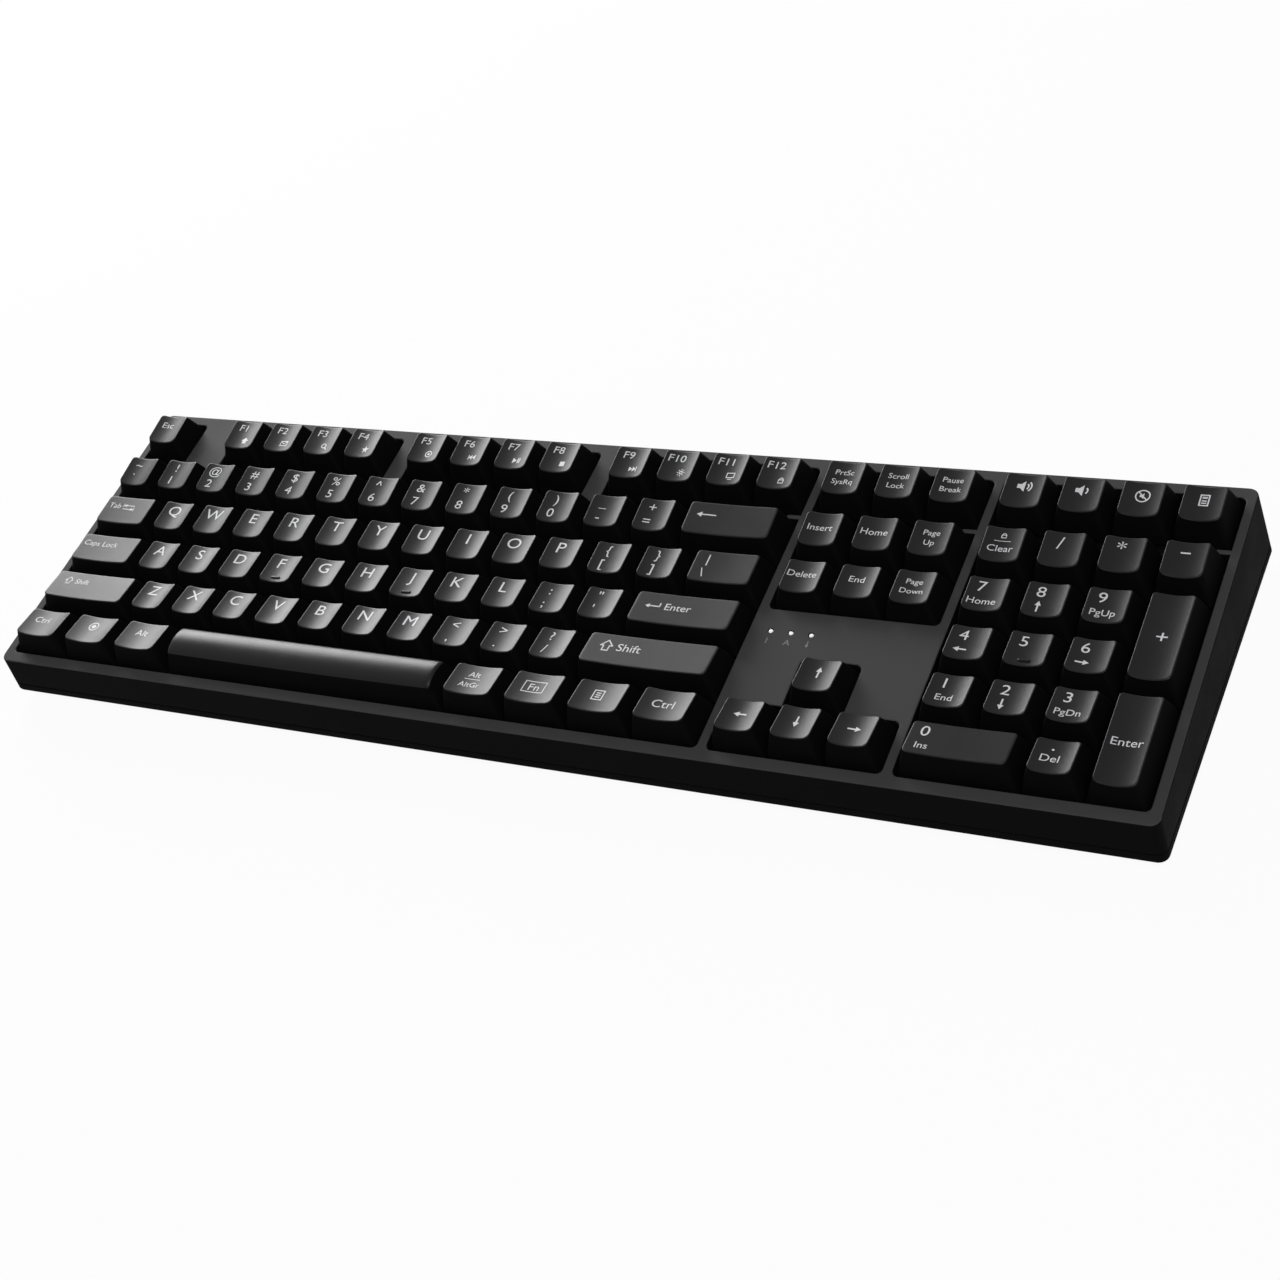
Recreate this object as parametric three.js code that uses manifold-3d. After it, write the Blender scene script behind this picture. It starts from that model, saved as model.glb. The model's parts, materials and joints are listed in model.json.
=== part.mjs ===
// Full-size mechanical keyboard: a two-part moulded case around a steel plate that carries the
// switches, a circuit board under them, hollow keycaps on the switches, and two flip-out rear feet.
// Millimetres. +X runs to the right along the keys, +Y away from the typist, +Z up. The origin lies
// on the desk under the middle of the case.
//
// The keys lie in a plane that rises towards the back. Everything that follows it is modelled in the
// key frame: x from the middle of the key field, y from the centre of the front row of keys, z from
// the bottom edge of the keycaps, square to that plane. Rows and columns count in key units.

import * as THREE from 'three';
import { mergeVertices } from 'three/addons/utils/BufferGeometryUtils.js';
import Module from 'manifold-3d';

const wasm = await Module();
wasm.setup();

// ---------------------------------------------------------------- driving dimensions
const UNIT = 19.05;                  // pitch of the keys
const FIELD_WIDTH = 22.5;            // key units from the left key to the right one
const LAST_ROW = 5.2;                // key units from the front row to the function row
const SLOPE = THREE.MathUtils.degToRad(4.7);
const GAP = 0.3;                     // between pieces that touch
const ARC_STEPS = 2;                 // half the facets of a round corner or hole's quarter

const BEZEL = {                      // the case's top face, in the key frame
  z: 3.3, side: 4.1, front: 4.75, back: 4.5, corner: 3.2,
};
const CASE = {
  underside: 1.0, waist: 4.2, chamfer: 4.0, seam: 7.0, frontEdge: 19.5,
  draft: 0.0585, wall: 2.4, floor: 1.6, lowerWall: 3.7, lip: 1.0, lipHeight: 2.0,
};
const POCKET = { side: 0.7, end: 0.2, corner: 2.0, depth: 8.9 };
const TAB = { length: 4.8, front: 4.5 * UNIT - 0.1, back: 4.5 * UNIT + 1.9 };
const HOLLOW = { skirt: 1.3, roof: 2.6 };   // underside of the broad parts of the bezel

const CAP = {
  base: 18.1, topLoss: 5.8, topDepth: 13.0, skew: 0.3, wall: 1.5, roof: 1.8,
  post: 5.4, postBottom: -1.8, link: 2.4, linkHeight: 1.1,
};
const PLATE = { top: -5.9, thickness: 1.5, margin: 1.2, cutout: 14.0 };
const BOARD = { top: -10.9, thickness: 1.6, inset: 1.2 };
const SWITCH = {
  body: 13.4, flange: 15.4, top: 10.6, height: 0.7, well: 6.4, wellFloor: -6.6, carrier: 0.5,
  inset: 1.6,
};
const STABILISER = {
  halfSpan: 50, wire: 0.8, bar: { y: -8.65, z: -4.9 }, arm: 9.4, rise: THREE.MathUtils.degToRad(12),
  slot: { width: 5.0, depth: 12.6, y: -2.6 }, post: 4.6, postBottom: -1.2,
};
const LIGHTS = { x: 15.44, pitch: 7.1, row: 2.02, pip: 1.0, hole: 1.35, bar: 2.6 };
const FOOT = {
  x: 168, y: 49.5, pivot: 3.5, round: 2.2, thickness: 3.3, width: 30, length: 18,
  pin: 1.2, pinLength: 1.8, room: 0.6, grip: 6, wall: 1.5, roof: 6.1,
};
const PAD = {
  length: 40, width: 9, thickness: 1.3, inset: 0.6, frontX: 186, frontY: -51, rearX: 118, rearY: 50,
};
const SOCKET = { x: -150, width: 9.0, height: 3.2, length: 7.4, wall: 0.4, mouthY: 107.6 };
const SOCKET_HOLE = { width: 13.4, bottom: 9.3, top: 16.3 };
const SHEET_CORNER = 3;
const CHIP = { x: -60, y: 62, size: 10, thickness: 1.2 };
const PLATE_RIB = { width: 5, xs: [-196, -98, 0, 98, 196] };
const RIB_ROOM = 0.4;

// Height of a cap's top at its middle, and how far the top leans towards the typist, by row.
const ROWS = {
  control: { y: 0, height: 10.4, lean: -8 },
  lower: { y: 1, height: 9.7, lean: -6 },
  home: { y: 2, height: 9.1, lean: -3 },
  upper: { y: 3, height: 9.5, lean: 0 },
  digits: { y: 4, height: 11.1, lean: 4 },
  function: { y: LAST_ROW, height: 11.0, lean: 4 },
};

// Every key with a press of its own, and every bank of equal keys that share one: name, row, left
// edge in key units, widths of its caps in key units, and the rows that a tall cap spans.
const caps = (count) => Array(count).fill(1);
const KEYS = {
  main: [
    ['key_escape', 'function', 0, caps(1)],
    ['keys_f1_to_f4', 'function', 2, caps(4)],
    ['keys_f5_to_f8', 'function', 6.5, caps(4)],
    ['keys_f9_to_f12', 'function', 11, caps(4)],
    ['keys_digits_left', 'digits', 0, caps(6)],
    ['keys_digits_right', 'digits', 6, caps(7)],
    ['key_backspace', 'digits', 13, [2]],
    ['key_tab', 'upper', 0, [1.5]],
    ['keys_upper_left', 'upper', 1.5, caps(5)],
    ['keys_upper_right', 'upper', 6.5, caps(7)],
    ['key_backslash', 'upper', 13.5, [1.5]],
    ['key_caps_lock', 'home', 0, [1.75]],
    ['keys_home_left', 'home', 1.75, caps(5)],
    ['keys_home_right', 'home', 6.75, caps(6)],
    ['key_enter', 'home', 12.75, [2.25]],
    ['key_shift_left', 'lower', 0, [2.25]],
    ['keys_lower_left', 'lower', 2.25, caps(5)],
    ['keys_lower_right', 'lower', 7.25, caps(5)],
    ['key_shift_right', 'lower', 12.25, [2.75]],
    ['key_control_left', 'control', 0, [1.25]],
    ['key_system', 'control', 1.25, [1.25]],
    ['key_alt_left', 'control', 2.5, [1.25]],
    ['key_space', 'control', 3.75, [6.25]],
    ['key_alt_right', 'control', 10, [1.25]],
    ['key_function', 'control', 11.25, [1.25]],
    ['key_menu', 'control', 12.5, [1.25]],
    ['key_control_right', 'control', 13.75, [1.25]],
  ],
  navigation: [
    ['keys_print_to_pause', 'function', 15.25, caps(3)],
    ['keys_insert_to_page_up', 'digits', 15.25, caps(3)],
    ['keys_delete_to_page_down', 'upper', 15.25, caps(3)],
    ['key_arrow_up', 'lower', 16.25, caps(1)],
    ['key_arrow_left', 'control', 15.25, caps(1)],
    ['key_arrow_down', 'control', 16.25, caps(1)],
    ['key_arrow_right', 'control', 17.25, caps(1)],
  ],
  numpad: [
    ['keys_media', 'function', 18.5, caps(4)],
    ['keys_numpad_operators', 'digits', 18.5, caps(4)],
    ['keys_numpad_7_to_9', 'upper', 18.5, caps(3)],
    ['keys_numpad_4_to_6', 'home', 18.5, caps(3)],
    ['keys_numpad_1_to_3', 'lower', 18.5, caps(3)],
    ['key_numpad_plus', 'home', 21.5, caps(1), 2],
    ['key_numpad_enter', 'control', 21.5, caps(1), 2],
    ['key_numpad_0', 'control', 18.5, [2]],
    ['key_numpad_point', 'control', 20.5, caps(1)],
  ],
};

// ---------------------------------------------------------------- materials
const finish = (color, roughness, metalness = 0) =>
  new THREE.MeshStandardMaterial({ color, roughness, metalness });
const MATERIAL = {
  topCase: finish(0x1d1d1f, 0.55),
  bottomCase: finish(0x131314, 0.65),
  cap: finish(0x1a1a1c, 0.42),
  plate: finish(0x0f0f10, 0.5, 0.6),
  board: finish(0x10241a, 0.6),
  chip: finish(0x0c0c0d, 0.5),
  switches: finish(0x0b0b0c, 0.45),
  metal: finish(0xb8bcc0, 0.3, 1),
  clear: finish(0xd9e0e6, 0.15),
  rubber: finish(0x0a0a0a, 0.9),
};

// ---------------------------------------------------------------- frames and solids
const bezelRun = BEZEL.front + BEZEL.back + (LAST_ROW + 1) * UNIT;
const bezelRise = bezelRun * Math.sin(SLOPE);
const halfWidth = FIELD_WIDTH * UNIT / 2 + BEZEL.side
  + CASE.draft * (CASE.frontEdge + bezelRise / 2 - CASE.waist);
const bezelFrontInset = CASE.draft * (CASE.frontEdge - CASE.waist);
const bezelBackInset = CASE.draft * (CASE.frontEdge + bezelRise - CASE.waist);
const halfDepth = (bezelRun * Math.cos(SLOPE) + bezelFrontInset + bezelBackInset) / 2;

// Where the key frame's origin lies: the bezel's front edge is set, the rest follows from it.
const frontEdgeY = -(UNIT / 2 + BEZEL.front);
const KEY_ORIGIN = new THREE.Vector3(
  0,
  -halfDepth + bezelFrontInset - frontEdgeY * Math.cos(SLOPE) + BEZEL.z * Math.sin(SLOPE),
  CASE.frontEdge - frontEdgeY * Math.sin(SLOPE) - BEZEL.z * Math.cos(SLOPE),
);
const KEY_FRAME = new THREE.Matrix4().makeRotationX(SLOPE).setPosition(KEY_ORIGIN);

const columnX = (column) => (column - FIELD_WIDTH / 2) * UNIT;
const rowY = (row) => row * UNIT;

// A closed geometry as a solid that can be joined and cut.
function solid(geometry) {
  geometry.deleteAttribute('normal');
  geometry.deleteAttribute('uv');
  const merged = mergeVertices(geometry, 1e-4);
  return new wasm.Manifold(new wasm.Mesh({
    numProp: 3,
    vertProperties: new Float32Array(merged.attributes.position.array),
    triVerts: new Uint32Array(merged.index.array),
  }));
}

function geometryOf(body) {
  const mesh = body.getMesh();
  const geometry = new THREE.BufferGeometry();
  geometry.setAttribute('position', new THREE.BufferAttribute(mesh.vertProperties, 3));
  geometry.setIndex(new THREE.BufferAttribute(mesh.triVerts, 1));
  geometry.computeVertexNormals();
  return geometry;
}

const joined = (bodies) => bodies.reduce((sum, body) => sum.add(body));

// A box between two corners.
function box([x0, y0, z0], [x1, y1, z1]) {
  const geometry = new THREE.BoxGeometry(x1 - x0, y1 - y0, z1 - z0);
  return solid(geometry.translate((x0 + x1) / 2, (y0 + y1) / 2, (z0 + z1) / 2));
}

// A rectangle with round corners.
function roundedRectangle(x0, y0, x1, y1, radius) {
  const shape = new THREE.Shape();
  shape.absarc(x1 - radius, y1 - radius, radius, 0, Math.PI / 2);
  shape.absarc(x0 + radius, y1 - radius, radius, Math.PI / 2, Math.PI);
  shape.absarc(x0 + radius, y0 + radius, radius, Math.PI, 1.5 * Math.PI);
  shape.absarc(x1 - radius, y0 + radius, radius, 1.5 * Math.PI, 2 * Math.PI);
  shape.closePath();
  return shape;
}

function prism(shape, z0, z1, matrix = new THREE.Matrix4()) {
  const geometry = new THREE.ExtrudeGeometry(shape, {
    depth: z1 - z0, bevelEnabled: false, curveSegments: ARC_STEPS,
  });
  return solid(geometry.translate(0, 0, z0).applyMatrix4(matrix));
}

// A block whose top is a smaller rectangle that may lie off centre and lean towards the front.
function taperedBlock(base, top) {
  const geometry = new THREE.BoxGeometry(2, 2, 2);
  const corner = geometry.attributes.position;
  for (let i = 0; i < corner.count; i += 1) {
    const face = corner.getZ(i) > 0 ? top : base;
    const y = corner.getY(i) * face.depth / 2;
    const lift = y * Math.tan(face.lean ?? 0);
    corner.setXYZ(i, corner.getX(i) * face.width / 2, (face.y ?? 0) + y, face.z + lift);
  }
  return solid(geometry);
}

// The case's outer form, drawn in by a distance. It widens from the underside to the waist, then
// narrows with the walls' draft up to a plane parallel to the bezel, so many millimetres above it.
function caseForm({ inset, bottom, chamfer, aboveBezel }) {
  const outline = roundedRectangle(-halfWidth, -halfDepth, halfWidth, halfDepth, BEZEL.corner);
  const geometry = new THREE.ExtrudeGeometry(outline, {
    depth: 2, steps: 2, bevelEnabled: false, curveSegments: ARC_STEPS,
  });
  const bezelPoint = new THREE.Vector3(0, 0, BEZEL.z + aboveBezel).applyMatrix4(KEY_FRAME);
  const point = geometry.attributes.position;
  for (let i = 0; i < point.count; i += 1) {
    const x = point.getX(i);
    const y = point.getY(i);
    const level = Math.round(point.getZ(i));
    let drawn = inset + (level === 0 ? chamfer : 0);
    let z = level === 0 ? bottom : Math.max(CASE.waist, bottom);
    if (level === 2) {
      const slope = Math.tan(SLOPE);
      const flat = bezelPoint.z + slope * (y - Math.sign(y) * (inset - CASE.draft * CASE.waist)
        - bezelPoint.y);
      z = flat / (1 + Math.sign(y) * slope * CASE.draft);
      drawn = inset + CASE.draft * (z - CASE.waist);
    }
    point.setXYZ(i, x - Math.sign(x) * drawn, y - Math.sign(y) * drawn, z);
  }
  return solid(geometry);
}

const keyboard = new THREE.Group();
const keyField = new THREE.Group();
keyField.applyMatrix4(KEY_FRAME);
keyboard.add(keyField);

function addPiece(name, body, material, parent = keyboard) {
  const mesh = new THREE.Mesh(geometryOf(body), material);
  mesh.name = name;
  parent.add(mesh);
  return mesh;
}

// ---------------------------------------------------------------- layout helpers
// A rectangle of the key field, from column to column and from row line to row line, in key units.
function fieldArea(left, front, right, back) {
  return [
    columnX(left) - POCKET.side, rowY(front) - POCKET.end,
    columnX(right) + POCKET.side, rowY(back) + POCKET.end,
  ];
}

const areaPrism = (area, z0, z1, radius = POCKET.corner) =>
  prism(roundedRectangle(...area, radius), z0, z1, KEY_FRAME);

const areaBox = ([x0, y0, x1, y1], z0, z1) => {
  const shape = new THREE.Shape();
  shape.moveTo(x0, y0).lineTo(x1, y0).lineTo(x1, y1).lineTo(x0, y1).closePath();
  return prism(shape, z0, z1, KEY_FRAME);
};

const grownBy = ([x0, y0, x1, y1], margin) => [x0 - margin, y0 - margin, x1 + margin, y1 + margin];

// Centre of each cap in a key or bank of keys, in the key frame.
function capCentres([, rowName, left, widths, rows = 1]) {
  let column = left;
  return widths.map((width) => {
    const centre = {
      x: columnX(column + width / 2), y: rowY(ROWS[rowName].y + (rows - 1) / 2), width, rows,
    };
    column += width;
    return centre;
  });
}

const BACK_LINE = LAST_ROW + 0.5;
const FUNCTION_FRONT = LAST_ROW - 0.5;
const CLUSTERS = {
  main: { left: 0, right: 15 },
  navigation: { left: 15.25, right: 18.25 },
  numpad: { left: 18.5, right: 22.5 },
};

const THROUGH = 30;                  // past both faces of whatever is being cut

// ---------------------------------------------------------------- case
// Openings of the bezel around the keys. The pockets of the function row run into the ones below,
// and short tabs stand between them at the sides of each cluster.
function pockets() {
  const areas = [
    fieldArea(0, -0.5, 15, 4.5), fieldArea(15.25, 2.5, 18.25, 4.5), fieldArea(15.25, -0.5, 18.25, 0.5),
    fieldArea(16.25, -0.5, 17.25, 1.5), fieldArea(18.5, -0.5, 22.5, 4.5),
  ];
  const functionGroups = [[0, 1], [2, 6], [6.5, 10.5], [11, 15], [15.25, 18.25], [18.5, 22.5]];
  functionGroups.forEach(([left, right]) => areas.push(fieldArea(left, 4, right, BACK_LINE)));
  const tabs = Object.values(CLUSTERS).flatMap(({ left, right }) => {
    const [x0, , x1] = fieldArea(left, 0, right, 0);
    return [
      areaBox([x0 - 1, TAB.front, x0 + TAB.length, TAB.back], -THROUGH, THROUGH),
      areaBox([x1 - TAB.length, TAB.front, x1 + 1, TAB.back], -THROUGH, THROUGH),
    ];
  });
  const openings = areas.map((area) => areaPrism(area, -POCKET.depth, BEZEL.z + 2));
  return joined(openings).subtract(joined(tabs));
}

// Hollows under the panel beside the arrow keys and under the tongues between the function keys.
function bezelHollows() {
  const y = { back: rowY(BACK_LINE), tongue: rowY(4.5) };
  const tongues = [[1, 2], [6, 6.5], [10.5, 11]].map(([left, right]) =>
    [columnX(left), y.tongue, columnX(right), y.back]);
  const panel = [
    [columnX(15.25), rowY(1.5), columnX(18.25), rowY(2.5)],
    [columnX(15.25), rowY(0.5), columnX(16.25), rowY(2)],
    [columnX(17.25), rowY(0.5), columnX(18.25), rowY(2)],
  ];
  const shrunk = (area) => grownBy(area, -(HOLLOW.skirt + POCKET.side));
  return joined([...tongues, ...panel].map((area) =>
    areaBox(shrunk(area), BEZEL.z - POCKET.depth - 2, BEZEL.z - HOLLOW.roof)));
}

const lightX = (i) => columnX(LIGHTS.x) + i * LIGHTS.pitch;

function roundHole(x, y, radius, z0, z1, matrix) {
  const shape = new THREE.Shape();
  shape.absarc(x, y, radius, 0, 2 * Math.PI);
  return prism(shape, z0, z1, matrix);
}

const WIDE = 500;
const above = (z) => box([-WIDE, -WIDE, z], [WIDE, WIDE, z + WIDE]);
const below = (z) => box([-WIDE, -WIDE, z - WIDE], [WIDE, WIDE, z]);

function topCase() {
  const outer = caseForm({ inset: 0, bottom: CASE.underside, chamfer: CASE.chamfer, aboveBezel: 0 });
  const cavity = caseForm({
    inset: CASE.wall, bottom: CASE.underside, chamfer: 0, aboveBezel: -POCKET.depth,
  });
  const bezelCuts = [cavity, pockets(), bezelHollows()];
  let body = outer.intersect(above(CASE.seam + GAP));
  body = bezelCuts.reduce((rest, hole) => rest.subtract(hole), body);
  for (let i = 0; i < 3; i += 1) {
    body = body.subtract(roundHole(lightX(i), rowY(LIGHTS.row), LIGHTS.hole, 0, BEZEL.z + 1, KEY_FRAME));
  }
  const hole = box(
    [SOCKET.x - SOCKET_HOLE.width / 2, halfDepth - 8, SOCKET_HOLE.bottom],
    [SOCKET.x + SOCKET_HOLE.width / 2, halfDepth + 5, SOCKET_HOLE.top],
  );
  return body.subtract(hole);
}

// A foot's well in the underside, with notches in its cheeks for the foot's pins.
function footWell(x) {
  const half = FOOT.width / 2 + FOOT.room;
  const front = FOOT.y - FOOT.length - FOOT.room - FOOT.grip;
  const back = FOOT.y + FOOT.round + FOOT.room;
  const cheek = FOOT.pinLength + FOOT.wall + 0.6;
  const notch = FOOT.pin + GAP;
  const reach = half + FOOT.pinLength;
  return {
    boss: box(
      [x - half - cheek, front - FOOT.wall, CASE.underside + 0.2],
      [x + half + cheek, back + FOOT.wall, FOOT.roof + FOOT.wall],
    ),
    room: box([x - half, front, -1], [x + half, back, FOOT.roof])
      .add(box([x - reach, FOOT.y - notch, -1], [x + reach, FOOT.y + notch, FOOT.pivot + notch])),
  };
}

function padAreas() {
  const mirrored = (x, y) => [[-x, y], [x, y]];
  const centres = [...mirrored(PAD.frontX, PAD.frontY), ...mirrored(PAD.rearX, PAD.rearY)];
  return centres.map(([x, y]) =>
    [x - PAD.length / 2, y - PAD.width / 2, x + PAD.length / 2, y + PAD.width / 2]);
}

// Ribs along the front and back walls of the bottom case, which carry the edges of the plate.
function plateRibs() {
  const plateUnderside = PLATE.top - PLATE.thickness - GAP;
  const inward = BOARD.inset - RIB_ROOM;
  const outward = PLATE.margin - RIB_ROOM;
  const ends = [
    { from: rowY(-0.5) - outward, to: rowY(-0.5) + inward },
    { from: rowY(BACK_LINE) - inward, to: rowY(BACK_LINE) + outward },
  ];
  const ribs = ends.flatMap(({ from, to }) => PLATE_RIB.xs.map((x) =>
    areaBox([x - PLATE_RIB.width / 2, from, x + PLATE_RIB.width / 2, to], -40, plateUnderside)));
  return joined(ribs).intersect(above(CASE.underside + 0.2));
}

function bottomCase() {
  const outer = caseForm({ inset: 0, bottom: CASE.underside, chamfer: CASE.chamfer, aboveBezel: 0 });
  const cavity = caseForm({
    inset: CASE.lowerWall, bottom: CASE.underside + CASE.floor, chamfer: 1.2, aboveBezel: 0,
  });
  const lip = caseForm({
    inset: CASE.lowerWall - CASE.lip, bottom: CASE.underside + CASE.floor, chamfer: 0, aboveBezel: 0,
  });
  const wells = [-FOOT.x, FOOT.x].map(footWell);
  let body = outer.intersect(below(CASE.seam))
    .add(lip.intersect(below(CASE.seam + CASE.lipHeight)).intersect(above(CASE.seam - 1)))
    .subtract(cavity)
    .add(plateRibs());
  wells.forEach(({ boss }) => { body = body.add(boss); });
  wells.forEach(({ room }) => { body = body.subtract(room); });
  padAreas().forEach((area) => {
    const [x0, y0, x1, y1] = grownBy(area, GAP);
    body = body.subtract(box([x0, y0, -1], [x1, y1, CASE.underside + PAD.inset]));
  });
  return body;
}

addPiece('top_case', topCase(), MATERIAL.topCase);
addPiece('bottom_case', bottomCase(), MATERIAL.bottomCase);

const PAD_NAMES = ['pad_front_left', 'pad_front_right', 'pad_rear_left', 'pad_rear_right'];
padAreas().forEach((area, i) => {
  const pad = prism(roundedRectangle(...area, PAD.width / 2 - 0.5), 0, PAD.thickness);
  addPiece(PAD_NAMES[i], pad, MATERIAL.rubber);
});

// ---------------------------------------------------------------- feet
// A foot is drawn from the side: x of the shape runs towards the front, y up, the pivot at zero.
function foot() {
  const top = FOOT.thickness - FOOT.round;
  const side = new THREE.Shape();
  side.absarc(0, 0, FOOT.round, Math.asin(top / FOOT.round), 1.5 * Math.PI);
  side.lineTo(FOOT.length - 0.8, -FOOT.round);
  side.lineTo(FOOT.length, 0.8 - FOOT.round);
  side.lineTo(FOOT.length, top);
  side.closePath();
  const extruded = (shape, length, segments) => {
    const geometry = new THREE.ExtrudeGeometry(shape, {
      depth: length, bevelEnabled: false, curveSegments: segments,
    });
    return solid(geometry.translate(0, 0, -length / 2).rotateX(Math.PI / 2).rotateZ(-Math.PI / 2));
  };
  const pin = new THREE.Shape();
  pin.absarc(0, 0, FOOT.pin, 0, 2 * Math.PI);
  return extruded(side, FOOT.width, 4).add(extruded(pin, FOOT.width + 2 * FOOT.pinLength, 4));
}

[['foot_left', -FOOT.x], ['foot_right', FOOT.x]].forEach(([name, x]) => {
  addPiece(name, foot(), MATERIAL.bottomCase).position.set(x, FOOT.y, FOOT.pivot);
});

// ---------------------------------------------------------------- plate, board and what they carry
const allKeys = Object.values(KEYS).flat();
const spaceCentre = capCentres(KEYS.main.find(([name]) => name === 'key_space'))[0];

// A flat sheet with round corners over all the keys, so much wider than the key field all round.
function fieldSheet(margin, bottom, top) {
  const field = [columnX(0), rowY(-0.5), columnX(FIELD_WIDTH), rowY(BACK_LINE)];
  return prism(roundedRectangle(...grownBy(field, margin), SHEET_CORNER), bottom, top);
}

function switchPlate() {
  const bottom = PLATE.top - PLATE.thickness;
  const cutout = (x, y, width, depth) => box(
    [x - width / 2, y - depth / 2, bottom - 1], [x + width / 2, y + depth / 2, PLATE.top + 1],
  );
  const { slot, halfSpan } = STABILISER;
  const cutouts = [
    ...allKeys.flatMap(capCentres).map(({ x, y }) => cutout(x, y, PLATE.cutout, PLATE.cutout)),
    cutout(spaceCentre.x - halfSpan, slot.y, slot.width, slot.depth),
    cutout(spaceCentre.x + halfSpan, slot.y, slot.width, slot.depth),
  ];
  return fieldSheet(PLATE.margin, bottom, PLATE.top).subtract(joined(cutouts));
}
addPiece('switch_plate', switchPlate(), MATERIAL.plate, keyField);

const boardBottom = BOARD.top - BOARD.thickness;
addPiece(
  'circuit_board', fieldSheet(-BOARD.inset, boardBottom, BOARD.top), MATERIAL.board, keyField,
);

const chipTop = boardBottom - GAP;
addPiece(
  'controller_chip',
  box(
    [CHIP.x - CHIP.size / 2, CHIP.y - CHIP.size / 2, chipTop - CHIP.thickness],
    [CHIP.x + CHIP.size / 2, CHIP.y + CHIP.size / 2, chipTop],
  ),
  MATERIAL.chip, keyField,
);

// The data socket hangs under the board's back edge, its mouth facing the hole in the back wall: a
// sleeve with a tongue inside.
function dataSocket() {
  const centreZ = boardBottom - GAP - SOCKET.height / 2;
  const back = SOCKET.mouthY - SOCKET.length;
  const bar = (margin, from, to) => {
    const w = SOCKET.width / 2 - margin;
    const h = SOCKET.height / 2 - margin;
    const geometry = new THREE.ExtrudeGeometry(roundedRectangle(-w, -h, w, h, h - 0.05), {
      depth: to - from, bevelEnabled: false, curveSegments: ARC_STEPS,
    });
    return solid(geometry.rotateX(-Math.PI / 2).translate(SOCKET.x, from, centreZ));
  };
  const tongue = box(
    [SOCKET.x - SOCKET.width / 2 + 1.3, back + 0.5, centreZ - 0.35],
    [SOCKET.x + SOCKET.width / 2 - 1.3, SOCKET.mouthY - 0.8, centreZ + 0.35],
  );
  return bar(0, back, SOCKET.mouthY)
    .subtract(bar(SOCKET.wall, back + 1, SOCKET.mouthY + 1))
    .add(tongue);
}
addPiece('data_socket', dataSocket(), MATERIAL.metal, keyField);

// A clear moulding: a bar under the panel with a pip standing in each hole.
function lightGuide() {
  const barTop = BEZEL.z - HOLLOW.roof - GAP;
  const y = rowY(LIGHTS.row);
  const bar = box(
    [lightX(0) - LIGHTS.bar / 2, y - LIGHTS.bar / 2, barTop - 1.4],
    [lightX(2) + LIGHTS.bar / 2, y + LIGHTS.bar / 2, barTop],
  );
  const pips = [0, 1, 2].map((i) => roundHole(lightX(i), y, LIGHTS.pip, barTop - 0.5, BEZEL.z - 0.1));
  return joined([bar, ...pips]);
}
addPiece('indicator_light_guide', lightGuide(), MATERIAL.clear, keyField);

// ---------------------------------------------------------------- switches
// A switch stands in its cutout on a flange, over a well that the slider moves in.
function switchHousing({ x, y }) {
  const seat = PLATE.top + GAP;
  const bottom = BOARD.top + GAP;
  const body = box(
    [-SWITCH.body / 2, -SWITCH.body / 2, bottom], [SWITCH.body / 2, SWITCH.body / 2, seat],
  );
  const upper = taperedBlock(
    { width: SWITCH.flange, depth: SWITCH.flange, z: seat },
    { width: SWITCH.top, depth: SWITCH.top, z: SWITCH.height },
  );
  const half = SWITCH.well / 2;
  const well = box([-half, -half, SWITCH.wellFloor], [half, half, SWITCH.height + 1]);
  return body.add(upper).subtract(well).translate(x, y, 0);
}

// The housings of a cluster stand on one thin carrier on the board, which makes them one piece.
Object.entries(CLUSTERS).forEach(([cluster, { left, right }]) => {
  const bottom = BOARD.top + GAP;
  const carrier = box(
    [columnX(left) + SWITCH.inset, rowY(-0.5) + SWITCH.inset, bottom],
    [columnX(right) - SWITCH.inset, rowY(BACK_LINE) - SWITCH.inset, bottom + SWITCH.carrier],
  );
  const housings = KEYS[cluster].flatMap(capCentres).map(switchHousing);
  addPiece(`switches_${cluster}`, joined([carrier, ...housings]), MATERIAL.switches, keyField);
});

// ---------------------------------------------------------------- keycaps
const capInset = UNIT - CAP.base;

// A hollow cap with the post that carries it, and the slider under the post.
function keycap({ x, y, width, rows }, { height, lean }) {
  const angle = rows > 1 ? 0 : THREE.MathUtils.degToRad(lean);
  const baseWidth = width * UNIT - capInset;
  const baseDepth = rows * UNIT - capInset;
  const topWidth = width * UNIT - CAP.topLoss;
  const topDepth = CAP.topDepth + (rows - 1) * UNIT;
  const shell = taperedBlock(
    { width: baseWidth, depth: baseDepth, z: 0 },
    { width: topWidth, depth: topDepth, y: CAP.skew, z: height, lean: angle },
  );
  const inside = taperedBlock(
    { width: baseWidth - 2 * CAP.wall, depth: baseDepth - 2 * CAP.wall, z: -0.01 },
    {
      width: topWidth - 2 * CAP.wall, depth: topDepth - 2 * CAP.wall, y: CAP.skew,
      z: height - CAP.roof, lean: angle,
    },
  );
  const half = CAP.post / 2;
  const post = box([-half, -half, CAP.postBottom], [half, half, height - CAP.roof / 2]);
  return shell.subtract(inside).add(post).translate(x, y, 0);
}

// Short struts between neighbouring caps of a bank, low down where the caps almost touch.
function capLinks(centres) {
  return centres.slice(1).map(({ x, y }) => {
    const seam = x - UNIT / 2;
    const reach = capInset / 2 + CAP.wall / 2;
    return box([seam - reach, y - CAP.link / 2, 0.2], [seam + reach, y + CAP.link / 2, CAP.linkHeight]);
  });
}

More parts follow.
